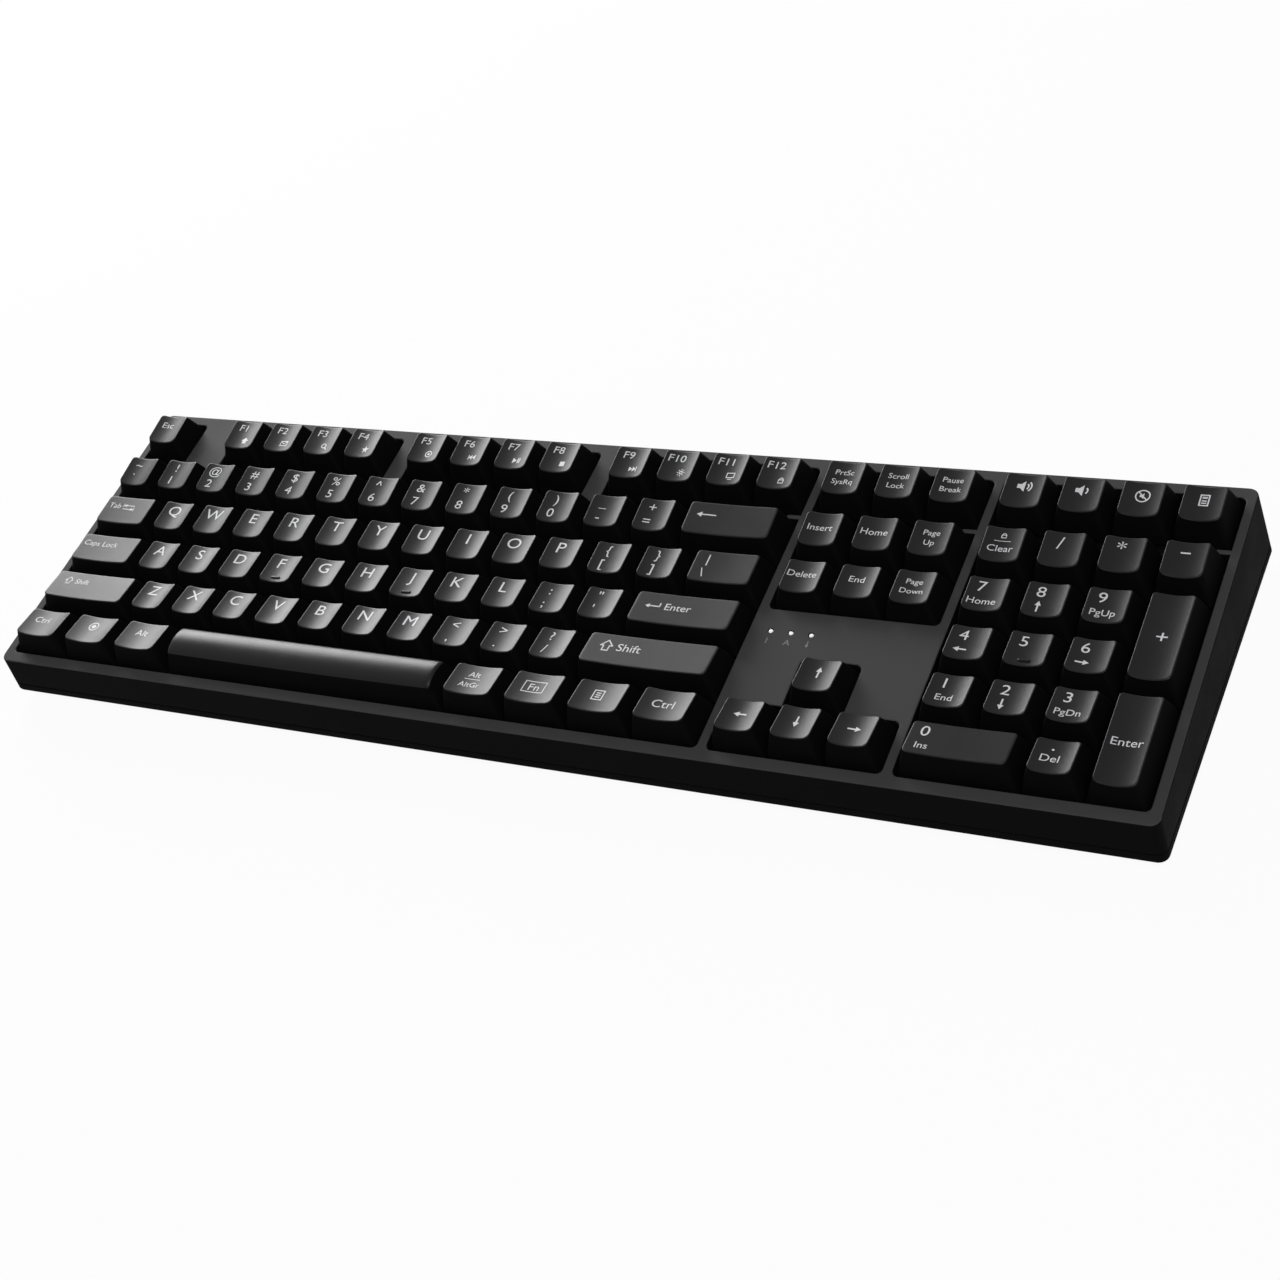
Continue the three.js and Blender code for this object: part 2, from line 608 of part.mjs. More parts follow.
// The space bar's outer posts, which press on the ends of its stabiliser wire.
function spaceBarPosts(height) {
  const half = STABILISER.post / 2;
  return [-1, 1].map((side) => {
    const x = spaceCentre.x + side * STABILISER.halfSpan;
    return box([x - half, -half, STABILISER.postBottom], [x + half, half, height - CAP.roof / 2]);
  });
}

allKeys.forEach((key) => {
  const [name, rowName] = key;
  const centres = capCentres(key);
  const parts = [...centres.map((centre) => keycap(centre, ROWS[rowName])), ...capLinks(centres)];
  if (name === 'key_space') {
    parts.push(...spaceBarPosts(ROWS[rowName].height));
  }
  addPiece(name, joined(parts), MATERIAL.cap, keyField);
});

// The space bar's stabiliser wire: a bar along the front of the switch that turns in its clips, with
// an arm at each end that follows the bar's ends down.
function stabiliserWire() {
  const { bar, arm, rise, halfSpan, wire } = STABILISER;
  const end = (side) => new THREE.Vector3(
    side * halfSpan, arm * Math.cos(rise), arm * Math.sin(rise),
  );
  const corner = (side) => new THREE.Vector3(side * halfSpan, 0, 0);
  const section = new THREE.Shape();
  section.absarc(0, 0, wire, 0, 2 * Math.PI);
  const rod = (from, to) => {
    const geometry = new THREE.ExtrudeGeometry(section, {
      steps: 1, bevelEnabled: false, curveSegments: 6, extrudePath: new THREE.LineCurve3(from, to),
    });
    return solid(geometry);
  };
  const along = (side) => corner(side).add(new THREE.Vector3(side * wire * 0.6, 0, 0));
  const rods = [rod(along(-1), along(1)), rod(corner(-1), end(-1)), rod(corner(1), end(1))];
  return joined(rods).translate(spaceCentre.x, bar.y, bar.z);
}
addPiece('space_stabiliser_wire', stabiliserWire(), MATERIAL.metal, keyField);

export default keyboard;
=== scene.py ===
"""A full-size mechanical keyboard in matt black ABS, on a white studio floor.

Sizes are in millimetres. Keys, bezel and switches are built in the key frame, which leans back with
the keys: x from the middle of the key field, y from the centre of the front row, z from the caps'
bottom edges. The feet and the lower case are built in the desk frame, with z from the desk. The
camera and the lights are placed in metres.
"""
import functools
import json
import math

import bmesh
import bpy
from mathutils import Matrix, Vector


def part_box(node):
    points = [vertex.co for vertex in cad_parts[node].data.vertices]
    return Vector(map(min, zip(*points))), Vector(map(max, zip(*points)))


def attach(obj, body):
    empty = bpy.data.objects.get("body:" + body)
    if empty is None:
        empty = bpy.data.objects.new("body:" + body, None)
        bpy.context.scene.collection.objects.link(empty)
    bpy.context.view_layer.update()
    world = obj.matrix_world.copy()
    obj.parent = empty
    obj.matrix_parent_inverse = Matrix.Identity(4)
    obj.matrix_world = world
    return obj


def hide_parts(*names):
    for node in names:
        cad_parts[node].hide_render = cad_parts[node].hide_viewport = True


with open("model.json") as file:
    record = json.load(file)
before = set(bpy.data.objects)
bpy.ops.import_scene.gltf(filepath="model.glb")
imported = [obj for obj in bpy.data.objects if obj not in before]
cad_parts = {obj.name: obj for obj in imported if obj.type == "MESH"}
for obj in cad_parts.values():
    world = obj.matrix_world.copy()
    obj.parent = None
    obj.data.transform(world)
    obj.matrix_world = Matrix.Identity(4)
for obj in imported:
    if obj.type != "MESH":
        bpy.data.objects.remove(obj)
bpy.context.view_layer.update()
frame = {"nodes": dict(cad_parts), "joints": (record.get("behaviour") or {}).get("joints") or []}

# ---------------- sizes
MM = 0.001
UNIT = 19.05                 # pitch of the keys
CAP_GAP = 0.95               # between the bottom edges of neighbouring caps
SKIRT_OVER_PLATE = 5.9       # from the plate's top to the caps' bottom edges

CAP = {
    "top_inset": 2.9,        # from a key's cell to its top, at each side
    "top_depth": 13.0, "skew": 0.3, "dish": 1.0, "wide_dish": 0.4, "fillet": 0.5, "bar_fillet": 1.5,
    "bulge": 0.4, "wide_bulge": 0.25, "rise": 0.15, "bow": 0.22, "edge_steps": 10,
    "front_corner": 1.9, "back_corner": 1.3, "base_corner": 0.9, "wall": 1.5, "roof": 1.7,
}
WIDE_CAP = 1.4 * UNIT        # from this width on, a cap's top is flatter
BAR_CAP = 5 * UNIT           # above this width, a cap is the space bar, with a crowned top
CROWN = {"radius": 12.0, "lift": 0.9, "forward": 0.2}
# Height of a cap's top at its middle, and its lean towards the typist in degrees, by row.
ROWS = {
    "control": (10.4, -8), "lower": (9.7, -6), "home": (9.1, -3),
    "upper": (9.5, 0), "digits": (11.1, 4), "function": (11.0, 4), "tall": (9.6, 0),
}
BEZEL = {"z": 3.3, "corner": 3.2, "fillet": 0.55, "edge": 0.45}
CASE = {
    "underside": 1.0, "waist": 4.2, "seam": 7.0, "gap": 0.3, "draft": 0.0585,
    "wall": 2.4, "chamfer": 4.0, "floor": 1.6, "lower_wall": 3.7, "seam_edge": 0.25,
}
POCKET = {"side": 0.7, "end": 0.2, "corner": 2.0, "depth": 8.9}
TAB = {
    "length": 4.8, "width": 1.8, "corner": 0.8, "edge": 0.4, "sunk": 0.42, "overlap": 1.2,
    "over_floor": 0.2,
}
LIGHT = {
    "count": 3, "row": 2.02, "column": 15.44, "pitch": 7.1, "hole": 0.95, "hole_edge": 0.2,
    "pip": 0.75, "mark": 4.0,
}
SOCKET = {
    "x": -150.0, "hole_width": 13.4, "bottom": 9.3, "top": 16.3, "corner": 2.0, "bevel": 0.5,
}
FOOT = {
    "x": 168.0, "y": 49.5, "pivot": 3.5, "round": 2.2, "thickness": 3.3, "width": 30.0,
    "length": 18.0, "pin": 1.2, "pin_length": 1.8, "tip": 4.2, "edge": 0.35,
}
FOOT_HOLLOW = {"pitch": 9.0, "half": 3.8, "front": 12.2, "back": 3.0, "corner": 0.8}
WELL = {"room": 0.6, "grip": 6.0, "roof": 6.1, "corner": 1.0, "boss_side": 4.0, "boss": 1.5}
PAD = {"corner": 4.0, "room": 0.35, "recess": 0.6, "recess_corner": 4.3}
PAD_NAMES = ("pad_front_left", "pad_front_right", "pad_rear_left", "pad_rear_right")
SCREW = {"hole": 3.2, "hole_depth": 1.0, "slot": (3.0, 0.6, 0.9), "slot_height": 0.2}
SCREW_PLACES = [(x, y) for y in (-42.0, 42.0) for x in (-200.0, -70.0, 70.0, 200.0)]
PAST = 2.0                   # how far a cutter starts under the case


# ---------------- frames
def press_slope():
    """How far the keys lean back, read from the direction in which they are pressed."""
    press = next(j for j in frame["joints"] if j["name"] == "escape_press")["axis"]
    return math.atan2(press[1], -press[2])


SLOPE = press_slope()
LEAN = Matrix.Rotation(SLOPE, 4, "X")


def leaning_box(node):
    """A CAD node's lowest and highest corner, measured along the key frame's axes, in mm."""
    corners = [LEAN.inverted() @ v.co / MM for v in frame["nodes"][node].data.vertices]
    return (
        Vector(min(c[i] for c in corners) for i in range(3)),
        Vector(max(c[i] for c in corners) for i in range(3)),
    )


def key_origin():
    space_low, space_high = leaning_box("key_space")
    plate_high = leaning_box("switch_plate")[1]
    middle = (space_low.y + space_high.y) / 2
    return Vector((0, middle, plate_high.z + SKIRT_OVER_PLATE))


KEY_ORIGIN = key_origin()
KEY_TO_WORLD = Matrix.Scale(MM, 4) @ LEAN @ Matrix.Translation(KEY_ORIGIN)
DESK_TO_WORLD = Matrix.Scale(MM, 4)
WORLD_TO_KEY = KEY_TO_WORLD.inverted()
DESK_TO_KEY = WORLD_TO_KEY @ DESK_TO_WORLD

CASE_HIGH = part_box("bottom_case")[1]
HALF_WIDTH = CASE_HIGH.x / MM
HALF_DEPTH = CASE_HIGH.y / MM


def key_area(node):
    """The rectangle that a key or bank of keys takes in the key field: x0, y0, x1, y1."""
    low, high = (corner - KEY_ORIGIN for corner in leaning_box(node))
    margin = CAP_GAP / 2
    return low.x - margin, low.y - margin, high.x + margin, high.y + margin


# ---------------- materials
def noise_node(nodes, links, scale, detail=4.0):
    coordinates = nodes.new("ShaderNodeTexCoord")
    noise = nodes.new("ShaderNodeTexNoise")
    noise.inputs["Scale"].default_value = scale
    noise.inputs["Detail"].default_value = detail
    noise.inputs["Roughness"].default_value = 0.6
    links.new(coordinates.outputs["Object"], noise.inputs["Vector"])
    return noise


def ramp(nodes, links, source, low, high):
    """A colour between two colours, by a 0 to 1 value."""
    mix = nodes.new("ShaderNodeMix")
    mix.data_type = "RGBA"
    links.new(source, mix.inputs["Factor"])
    mix.inputs["A"].default_value = (*low, 1)
    mix.inputs["B"].default_value = (*high, 1)
    return mix.outputs["Result"]


def map_range(nodes, links, source, low, high):
    """A value between two values, by a noise that mostly lies between 0.3 and 0.7."""
    node = nodes.new("ShaderNodeMapRange")
    links.new(source, node.inputs["Value"])
    node.inputs["From Min"].default_value = 0.3
    node.inputs["From Max"].default_value = 0.7
    node.inputs["To Min"].default_value = low
    node.inputs["To Max"].default_value = high
    return node.outputs["Result"]


def material(name, dark, light, roughness, grain, grain_depth, specular=0.5, metallic=0.0):
    """A moulded or rolled surface: its colour and gloss wander a little, over a fine grain."""
    made = bpy.data.materials.new(name)
    made.use_nodes = True
    nodes, links = made.node_tree.nodes, made.node_tree.links
    shader = nodes["Principled BSDF"]
    cloud = noise_node(nodes, links, 55.0)
    links.new(ramp(nodes, links, cloud.outputs["Fac"], dark, light), shader.inputs["Base Color"])
    gloss = map_range(nodes, links, cloud.outputs["Fac"], roughness[0], roughness[1])
    links.new(gloss, shader.inputs["Roughness"])
    fine = noise_node(nodes, links, grain, 2.0)
    bump = nodes.new("ShaderNodeBump")
    bump.inputs["Strength"].default_value = grain_depth
    bump.inputs["Distance"].default_value = 0.00006
    links.new(fine.outputs["Fac"], bump.inputs["Height"])
    links.new(bump.outputs["Normal"], shader.inputs["Normal"])
    shader.inputs["Specular IOR Level"].default_value = specular
    shader.inputs["Metallic"].default_value = metallic
    return made


def grey(value):
    return (value, value, value * 1.03)


MATERIALS = {
    "cap": material("keycap_abs", grey(0.005), grey(0.007), (0.30, 0.36), 3800, 0.25, 0.14),
    # Darker, duller copy of the cap material for the caps' steep sides: painted shade.
    "steep_cap_painted_shade": material("keycap_steep_painted_shade", grey(0.003), grey(0.005), (0.5, 0.6), 3800, 0.25, 0.01),
    "legend": material("legend_ink", grey(0.50), grey(0.58), (0.45, 0.55), 2500, 0.1),
    "bezel": material("bezel_abs", grey(0.050), grey(0.057), (0.52, 0.60), 2600, 0.5, 0.05),
    # About ten times darker copy of the bezel material for the case's steep walls: painted shade.
    "wall": material("case_wall_painted_shade", grey(0.005), grey(0.007), (0.55, 0.65), 2600, 0.5, 0.01),
    "lower": material("lower_case_abs", grey(0.005), grey(0.007), (0.6, 0.7), 2600, 0.5, 0.01),
    "switch": material("switch_nylon", grey(0.008), grey(0.012), (0.4, 0.5), 2200, 0.3, 0.3),
    "plate": material("plate_powder_coat", grey(0.008), grey(0.012), (0.5, 0.6), 1800, 0.6, 0.3),
    "screw": material("blackened_steel", grey(0.06), grey(0.09), (0.35, 0.45), 1500, 0.15, 0.5, 1.0),
    "steel": material("drawn_steel", grey(0.5), grey(0.6), (0.25, 0.35), 1500, 0.15, 0.5, 1.0),
    "board": material("board_lacquer", (0.006, 0.045, 0.02), (0.01, 0.06, 0.03), (0.3, 0.4), 900, 0.2),
    "rubber": material("rubber", grey(0.010), grey(0.018), (0.8, 0.95), 1600, 0.8, 0.3),
    "pip": material("light_pip", grey(0.72), grey(0.82), (0.15, 0.2), 900, 0.05),
    "mark": material("bezel_print", grey(0.11), grey(0.14), (0.5, 0.6), 1500, 0.1),
}
PIP_SHADER = MATERIALS["pip"].node_tree.nodes["Principled BSDF"]
PIP_SHADER.inputs["Emission Color"].default_value = (1, 1, 1, 1)
PIP_SHADER.inputs["Emission Strength"].default_value = 0.3


# ---------------- mesh helpers
def add_object(name, data):
    made = bpy.data.objects.new(name, data)
    bpy.context.scene.collection.objects.link(made)
    return made


def mesh_of(bm, name):
    mesh = bpy.data.meshes.new(name)
    bm.to_mesh(mesh)
    bm.free()
    return mesh


def finish_mesh(bm, name, matrix, material_key, smooth_below=40, steep_shade_key=None):
    """Turns a bmesh, in mm, into an object in the world, smooth where its faces meet gently. Steep
    faces can take a second material, a darker copy that paints shade on them."""
    bmesh.ops.recalc_face_normals(bm, faces=bm.faces)
    for face in bm.faces:
        face.smooth = True
        # Steep faces take the second material, a darker copy that paints shade on them.
        face.material_index = 1 if steep_shade_key and abs(face.normal.z) < 0.6 else 0
    bm.transform(matrix)
    limit = math.radians(smooth_below)
    for edge in bm.edges:
        edge.smooth = len(edge.link_faces) == 2 and edge.calc_face_angle(4) < limit
    mesh = mesh_of(bm, name)
    for key in filter(None, (material_key, steep_shade_key)):
        mesh.materials.append(MATERIALS[key])
    return add_object(name, mesh)


def place(piece, body, slot, *replaced):
    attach(piece, body)
    if replaced:
        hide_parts(*replaced)


def loft(bm, rings):
    """Skins rings of points, each with the same number of points, and closes both ends."""
    made = [[bm.verts.new(p) for p in ring] for ring in rings]
    for a, b in zip(made, made[1:]):
        for i in range(len(a)):
            j = (i + 1) % len(a)
            bm.faces.new((a[i], a[j], b[j], b[i]))
    bm.faces.new(made[0][::-1])
    bm.faces.new(made[-1])


def lofted(rings):
    bm = bmesh.new()
    loft(bm, rings)
    return bm


def at_height(outline, z):
    return [(x, y, z) for x, y in outline]


def scaled(outline, cx, cy, sx, sy):
    """An outline stretched about a point."""
    return [(cx + (x - cx) * sx, cy + (y - cy) * sy) for x, y in outline]


def rounded_outline(x0, y0, x1, y1, front_radius, back_radius=None, steps=6, edge_steps=1):
    """Points round a rectangle with round corners, counterclockwise from the front right."""
    back_radius = front_radius if back_radius is None else back_radius
    corners = [
        (x1 - front_radius, y0 + front_radius, front_radius, -90),
        (x1 - back_radius, y1 - back_radius, back_radius, 0),
        (x0 + back_radius, y1 - back_radius, back_radius, 90),
        (x0 + front_radius, y0 + front_radius, front_radius, 180),
    ]
    arcs = [
        [
            (x + r * math.cos(math.radians(start + 90 * i / steps)),
             y + r * math.sin(math.radians(start + 90 * i / steps)))
            for i in range(steps + 1)
        ]
        for x, y, r, start in corners
    ]
    points = []
    for arc, after in zip(arcs, arcs[1:] + arcs[:1]):
        points += arc
        (ax, ay), (bx, by) = arc[-1], after[0]
        for i in range(1, edge_steps):
            share = i / edge_steps
            points.append((ax + (bx - ax) * share, ay + (by - ay) * share))
    return points


def quarter(steps):
    """Cosine and sine at even steps over a quarter turn."""
    return [
        (math.cos(math.pi / 2 * i / steps), math.sin(math.pi / 2 * i / steps))
        for i in range(steps + 1)
    ]


def prism_mesh(outline, z0, z1, fillet=0.0):
    """A prism in a bmesh. A fillet flares its top edge outwards, to round the edge of what it cuts."""
    if not fillet:
        return lofted([at_height(outline, z) for z in (z0, z1)])
    cx = sum(p[0] for p in outline) / len(outline)
    cy = sum(p[1] for p in outline) / len(outline)
    half_x = max(abs(p[0] - cx) for p in outline)
    half_y = max(abs(p[1] - cy) for p in outline)

    def grown(margin):
        return scaled(outline, cx, cy, 1 + margin / half_x, 1 + margin / half_y)

    rings = [at_height(outline, z0)]
    for cosine, sine in quarter(4):
        rings.append(at_height(grown(fillet * (1 - cosine)), z1 - fillet + fillet * sine))
    rings.append(at_height(grown(fillet), z1 + 1))
    return lofted(rings)


def as_cutter(bm, matrix=None):
    """A bmesh as a hidden solid that cuts or joins another one."""
    bmesh.ops.recalc_face_normals(bm, faces=bm.faces)
    if matrix is not None:
        bm.transform(matrix)
    return add_object("cutter", mesh_of(bm, "cutter"))


def cut(bm, matrix=None):
    return as_cutter(bm, matrix), "DIFFERENCE"


def join(bm):
    return as_cutter(bm), "UNION"


def booleans(base, steps):
    """Cuts and joins a hidden solid with others, one after the other, and gives back a bmesh."""
    for cutter, operation in steps:
        modifier = base.modifiers.new("step", "BOOLEAN")
        modifier.object = cutter
        modifier.operation = operation
        modifier.solver = "EXACT"
    bpy.context.view_layer.update()
    evaluated = base.evaluated_get(bpy.context.evaluated_depsgraph_get())
    bm = bmesh.new()
    bm.from_mesh(evaluated.to_mesh())
    evaluated.to_mesh_clear()
    for piece in [base] + [cutter for cutter, _ in steps]:
        bpy.data.objects.remove(piece)
    bmesh.ops.remove_doubles(bm, verts=bm.verts, dist=1e-4)
    return bm


def weigh_normals(piece):
    """Keeps broad flat faces flat beside their rounded edges."""
    modifier = piece.modifiers.new("weighted", "WEIGHTED_NORMAL")
    modifier.keep_sharp = True
    modifier.weight = 100
    bpy.context.view_layer.update()
    evaluated = piece.evaluated_get(bpy.context.evaluated_depsgraph_get())
    mesh = bpy.data.meshes.new_from_object(evaluated)
    piece.modifiers.clear()
    piece.data = mesh
    return piece


# ---------------- case
def case_ring(inset, z=None, below_top=0.0):
    """The case's outline at a height over the desk, or at a distance under the bezel's plane."""
    ring = []
    area = (-HALF_WIDTH, -HALF_DEPTH, HALF_WIDTH, HALF_DEPTH)
    for x, y in rounded_outline(*area, BEZEL["corner"], steps=8):
        height = z
        drawn = inset
        if z is None:
            height = bezel_height(y) - below_top
            for _ in range(3):
                drawn = inset + CASE["draft"] * (height - CASE["waist"])
                height = bezel_height(y - math.copysign(drawn, y)) - below_top
        elif z > CASE["waist"]:
            drawn = inset + CASE["draft"] * (z - CASE["waist"])
        ring.append((x - math.copysign(drawn, x), y - math.copysign(drawn, y), height))
    return ring


def case_loft(*levels):
    """The case's outline skinned through levels, each an inset and a height over the desk."""
    return lofted([case_ring(inset, z=z) for inset, z in levels])


def bezel_height(y):
    """Height over the desk of the bezel's plane at a distance back from the case's middle."""
    point = DESK_TO_KEY.inverted() @ Vector((0, 0, BEZEL["z"]))
    return point.z + (y - point.y) * math.tan(SLOPE)


def grow(area, side, end):
    x0, y0, x1, y1 = area
    return x0 - side, y0 - end, x1 + side, y1 + end


def hull_of(*nodes):
    areas = [key_area(node) for node in nodes]
    return (
        min(a[0] for a in areas), min(a[1] for a in areas),
        max(a[2] for a in areas), max(a[3] for a in areas),
    )


CLUSTER_ENDS = {
    "main": ("key_control_left", "key_backspace"),
    "navigation": ("key_arrow_left", "keys_insert_to_page_up"),
    "numpad": ("key_numpad_0", "keys_numpad_operators"),
}


def pocket_areas():
    """Rectangles that together are the bezel's openings round the keys."""
    blocks = [
        hull_of(*CLUSTER_ENDS["main"]), hull_of(*CLUSTER_ENDS["numpad"]),
        hull_of("keys_delete_to_page_down", "keys_insert_to_page_up"),
        hull_of("key_arrow_left", "key_arrow_right"), hull_of("key_arrow_up", "key_arrow_down"),
    ]
    reach = hull_of("keys_digits_left")[1]
    for node in ("key_escape", "keys_f1_to_f4", "keys_f5_to_f8", "keys_f9_to_f12",
                 "keys_print_to_pause", "keys_media"):
        x0, _, x1, y1 = key_area(node)
        blocks.append((x0, reach + UNIT / 2, x1, y1))
    return [grow(area, POCKET["side"], POCKET["end"]) for area in blocks]


def bezel_tabs():
    """Short tabs between the function row and the digits, at both sides of each cluster."""
    front = hull_of("keys_digits_left")[3]
    floor = -POCKET["depth"] + BEZEL["z"] + TAB["over_floor"]
    tabs = []
    for ends in CLUSTER_ENDS.values():
        x0, _, x1, _ = grow(hull_of(*ends), POCKET["side"], 0)
        spans = ((x0 - TAB["overlap"], x0 + TAB["length"]), (x1 - TAB["length"], x1 + TAB["overlap"]))
        for left, right in spans:
            outline = rounded_outline(left, front, right, front + TAB["width"], TAB["corner"], steps=4)
            rings = [at_height(outline, floor)]
            cx, cy = (left + right) / 2, front + TAB["width"] / 2
            for cosine, sine in quarter(3):
                shrink = TAB["edge"] * (1 - cosine)
                sx = 1 - shrink / ((right - left) / 2)
                sy = 1 - shrink / (TAB["width"] / 2)
                height = BEZEL["z"] - TAB["sunk"] + TAB["edge"] * sine
                rings.append(at_height(scaled(outline, cx, cy, sx, sy), height))
            tabs.append(join(lofted(rings)))
    return tabs


def light_x(index):
    return key_area("key_escape")[0] + LIGHT["column"] * UNIT + index * LIGHT["pitch"]


def circle(x, y, radius, steps=24):
    return [
        (x + radius * math.cos(2 * math.pi * i / steps), y + radius * math.sin(2 * math.pi * i / steps))
        for i in range(steps)
    ]


def build_top_case():
    edge, bottom = BEZEL["edge"], CASE["seam"] + CASE["gap"]
    rings = [case_ring(CASE["seam_edge"], z=bottom), case_ring(0.0, z=bottom + CASE["seam_edge"])]
    for cosine, sine in quarter(4):
        rings.append(case_ring(edge * (1 - cosine), below_top=edge * (1 - sine)))
    base = as_cutter(lofted(rings), DESK_TO_KEY)
    cavity = lofted([case_ring(CASE["wall"], z=CASE["seam"] - 3),
                     case_ring(CASE["wall"], below_top=POCKET["depth"])])
    steps = [cut(cavity, DESK_TO_KEY)]
    for area in pocket_areas():
        outline = rounded_outline(*area, POCKET["corner"], steps=8)
        below = BEZEL["z"] - POCKET["depth"] - 4
        steps.append(cut(prism_mesh(outline, below, BEZEL["z"], BEZEL["fillet"])))
    steps += bezel_tabs()
    for i in range(LIGHT["count"]):
        hole = circle(light_x(i), LIGHT["row"] * UNIT, LIGHT["hole"])
        steps.append(cut(prism_mesh(hole, -12, BEZEL["z"], LIGHT["hole_edge"])))
    steps.append(cut(socket_hole(), DESK_TO_KEY))
    bm = booleans(base, steps)
    # The case's steep walls take the darker wall material: painted shade.
    piece = finish_mesh(bm, "top_case_shell", KEY_TO_WORLD, "bezel", 35, "wall")
    place(weigh_normals(piece), "case", "top_case", "top_case")


def socket_hole():
    """A rounded opening through the back wall, with a bevelled rim."""
    x, low, high, bevel = (SOCKET[key] for key in ("x", "bottom", "top", "bevel"))
    half, half_z, middle = SOCKET["hole_width"] / 2, (high - low) / 2, (low + high) / 2
    outline = rounded_outline(x - half, low, x + half, high, SOCKET["corner"])
    wall = HALF_DEPTH - CASE["draft"] * (middle - CASE["waist"])
    rings = []
    for y, margin in ((wall - 8, 0), (wall - bevel, 0), (wall + 0.1, bevel), (wall + 3, bevel)):
        stretched = scaled(outline, x, middle, 1 + margin / half, 1 + margin / half_z)
        rings.append([(px, y, pz) for px, pz in stretched])
    return lofted(rings)


def well_area(x):
    """The well that a foot folds into, with room for a fingertip before it: x0, y0, x1, y1."""
    half = FOOT["width"] / 2 + WELL["room"]
    front = FOOT["y"] - FOOT["length"] - WELL["room"] - WELL["grip"]
    back = FOOT["y"] + FOOT["round"] + WELL["room"]
    return x - half, front, x + half, back


def build_bottom_case():
    low, waist, seam = CASE["underside"], CASE["waist"], CASE["seam"]
    edge = CASE["seam_edge"]
    base = as_cutter(case_loft(
        (CASE["chamfer"] + 0.8, low), (CASE["chamfer"] - 0.1, low + 0.25), (0.8, waist - 0.7),
        (0.25, waist - 0.2), (0.0, waist + 0.5), (0.0, seam - edge), (edge, seam)))
    wall = CASE["lower_wall"]
    cavity = case_loft((wall + 1.2, low + CASE["floor"]), (wall, waist), (wall, seam + 3))
    steps = [cut(cavity)]
    for x in (-FOOT["x"], FOOT["x"]):
        boss = rounded_outline(*grow(well_area(x), WELL["boss_side"], WELL["boss"]), WELL["boss"])
        steps.append(join(prism_mesh(boss, low + 0.3, WELL["roof"] + WELL["boss"])))
    for x in (-FOOT["x"], FOOT["x"]):
        room = rounded_outline(*well_area(x), WELL["corner"])
        steps.append(cut(prism_mesh(room, low - PAST, WELL["roof"])))
        reach = FOOT["width"] / 2 + WELL["room"] + FOOT["pin_length"]
        notch = FOOT["pin"] + CASE["gap"]
        slot = rounded_outline(x - reach, FOOT["y"] - notch, x + reach, FOOT["y"] + notch, 0.4)
        steps.append(cut(prism_mesh(slot, low - PAST, FOOT["pivot"] + notch)))
    for name in PAD_NAMES:
        (x0, y0, _), (x1, y1, _) = (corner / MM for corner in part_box(name))
        area = grow((x0, y0, x1, y1), PAD["room"], PAD["room"])
        recess = rounded_outline(*area, PAD["recess_corner"], steps=8)
        steps.append(cut(prism_mesh(recess, low - PAST, low + PAD["recess"])))
    for x, y in SCREW_PLACES:
        hole = circle(x, y, SCREW["hole"])
        steps.append(cut(prism_mesh(hole, low - PAST, low + SCREW["hole_depth"])))
    piece = finish_mesh(booleans(base, steps), "bottom_case_shell", DESK_TO_WORLD, "lower", 35)
    place(weigh_normals(piece), "case", "bottom_case", "bottom_case")


def build_pads():
    for name in PAD_NAMES:
        (x0, y0, z0), (x1, y1, z1) = (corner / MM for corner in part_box(name))
        rings = []
        for inset, z in ((0.5, z0), (0.15, z0 + 0.12), (0, z0 + 0.45), (0, z1)):
            outline = rounded_outline(
                x0 + inset, y0 + inset, x1 - inset, y1 - inset, PAD["corner"] - inset, steps=8)
            rings.append(at_height(outline, z))
        piece = finish_mesh(lofted(rings), name + "_rubber", DESK_TO_WORLD, "rubber")
        place(piece, "case", "rubber", name)


def build_screws():
    """Countersunk cross-head screws in the underside."""
    low = CASE["underside"]
    profile = ((2.9, low + 0.95), (2.9, low + 0.45), (2.6, low + 0.25), (1.2, low + 0.15))
    for index, (x, y) in enumerate(SCREW_PLACES):
        base = as_cutter(lofted([at_height(circle(x, y, radius), z) for radius, z in profile]))
        steps = []
        for turn in (0, 90):
            arm = bmesh.new()
            bmesh.ops.create_cube(arm, size=1)
            spot = Matrix.Translation((x, y, low + SCREW["slot_height"]))
            turned = Matrix.Rotation(math.radians(turn), 4, "Z")
            arm.transform(spot @ turned @ Matrix.Diagonal((*SCREW["slot"], 1)))
            steps.append(cut(arm))
        piece = finish_mesh(booleans(base, steps), f"case_screw_{index + 1}", DESK_TO_WORLD, "screw")
        place(piece, "case", "wire")


# ---------------- feet
def foot_profile():
    """A foot from the side: y back from its pivot, z up from it."""
    top = FOOT["thickness"] - FOOT["round"]
    start = math.degrees(math.asin(top / FOOT["round"]))
    end = FOOT["length"] - FOOT["tip"]
    heel = [
        (FOOT["round"] * math.cos(math.radians(a)), FOOT["round"] * math.sin(math.radians(a)))
        for a in [start - i * (start + 90) / 10 for i in range(11)]
    ]
    return heel + [(-end, -FOOT["round"]), (-end, top)]


def tip_profile():
    """The rubber tip at a foot's end, from the side as its profile is."""
    top = FOOT["thickness"] - FOOT["round"]
    near, far = FOOT["length"] - FOOT["tip"] + 0.1, FOOT["length"]
    low = -FOOT["round"]
    return [(-near, low), (-far + 0.8, low), (-far + 0.25, low + 0.25), (-far, low + 0.8),
            (-far, top - 0.4), (-far + 0.4, top), (-near, top)]


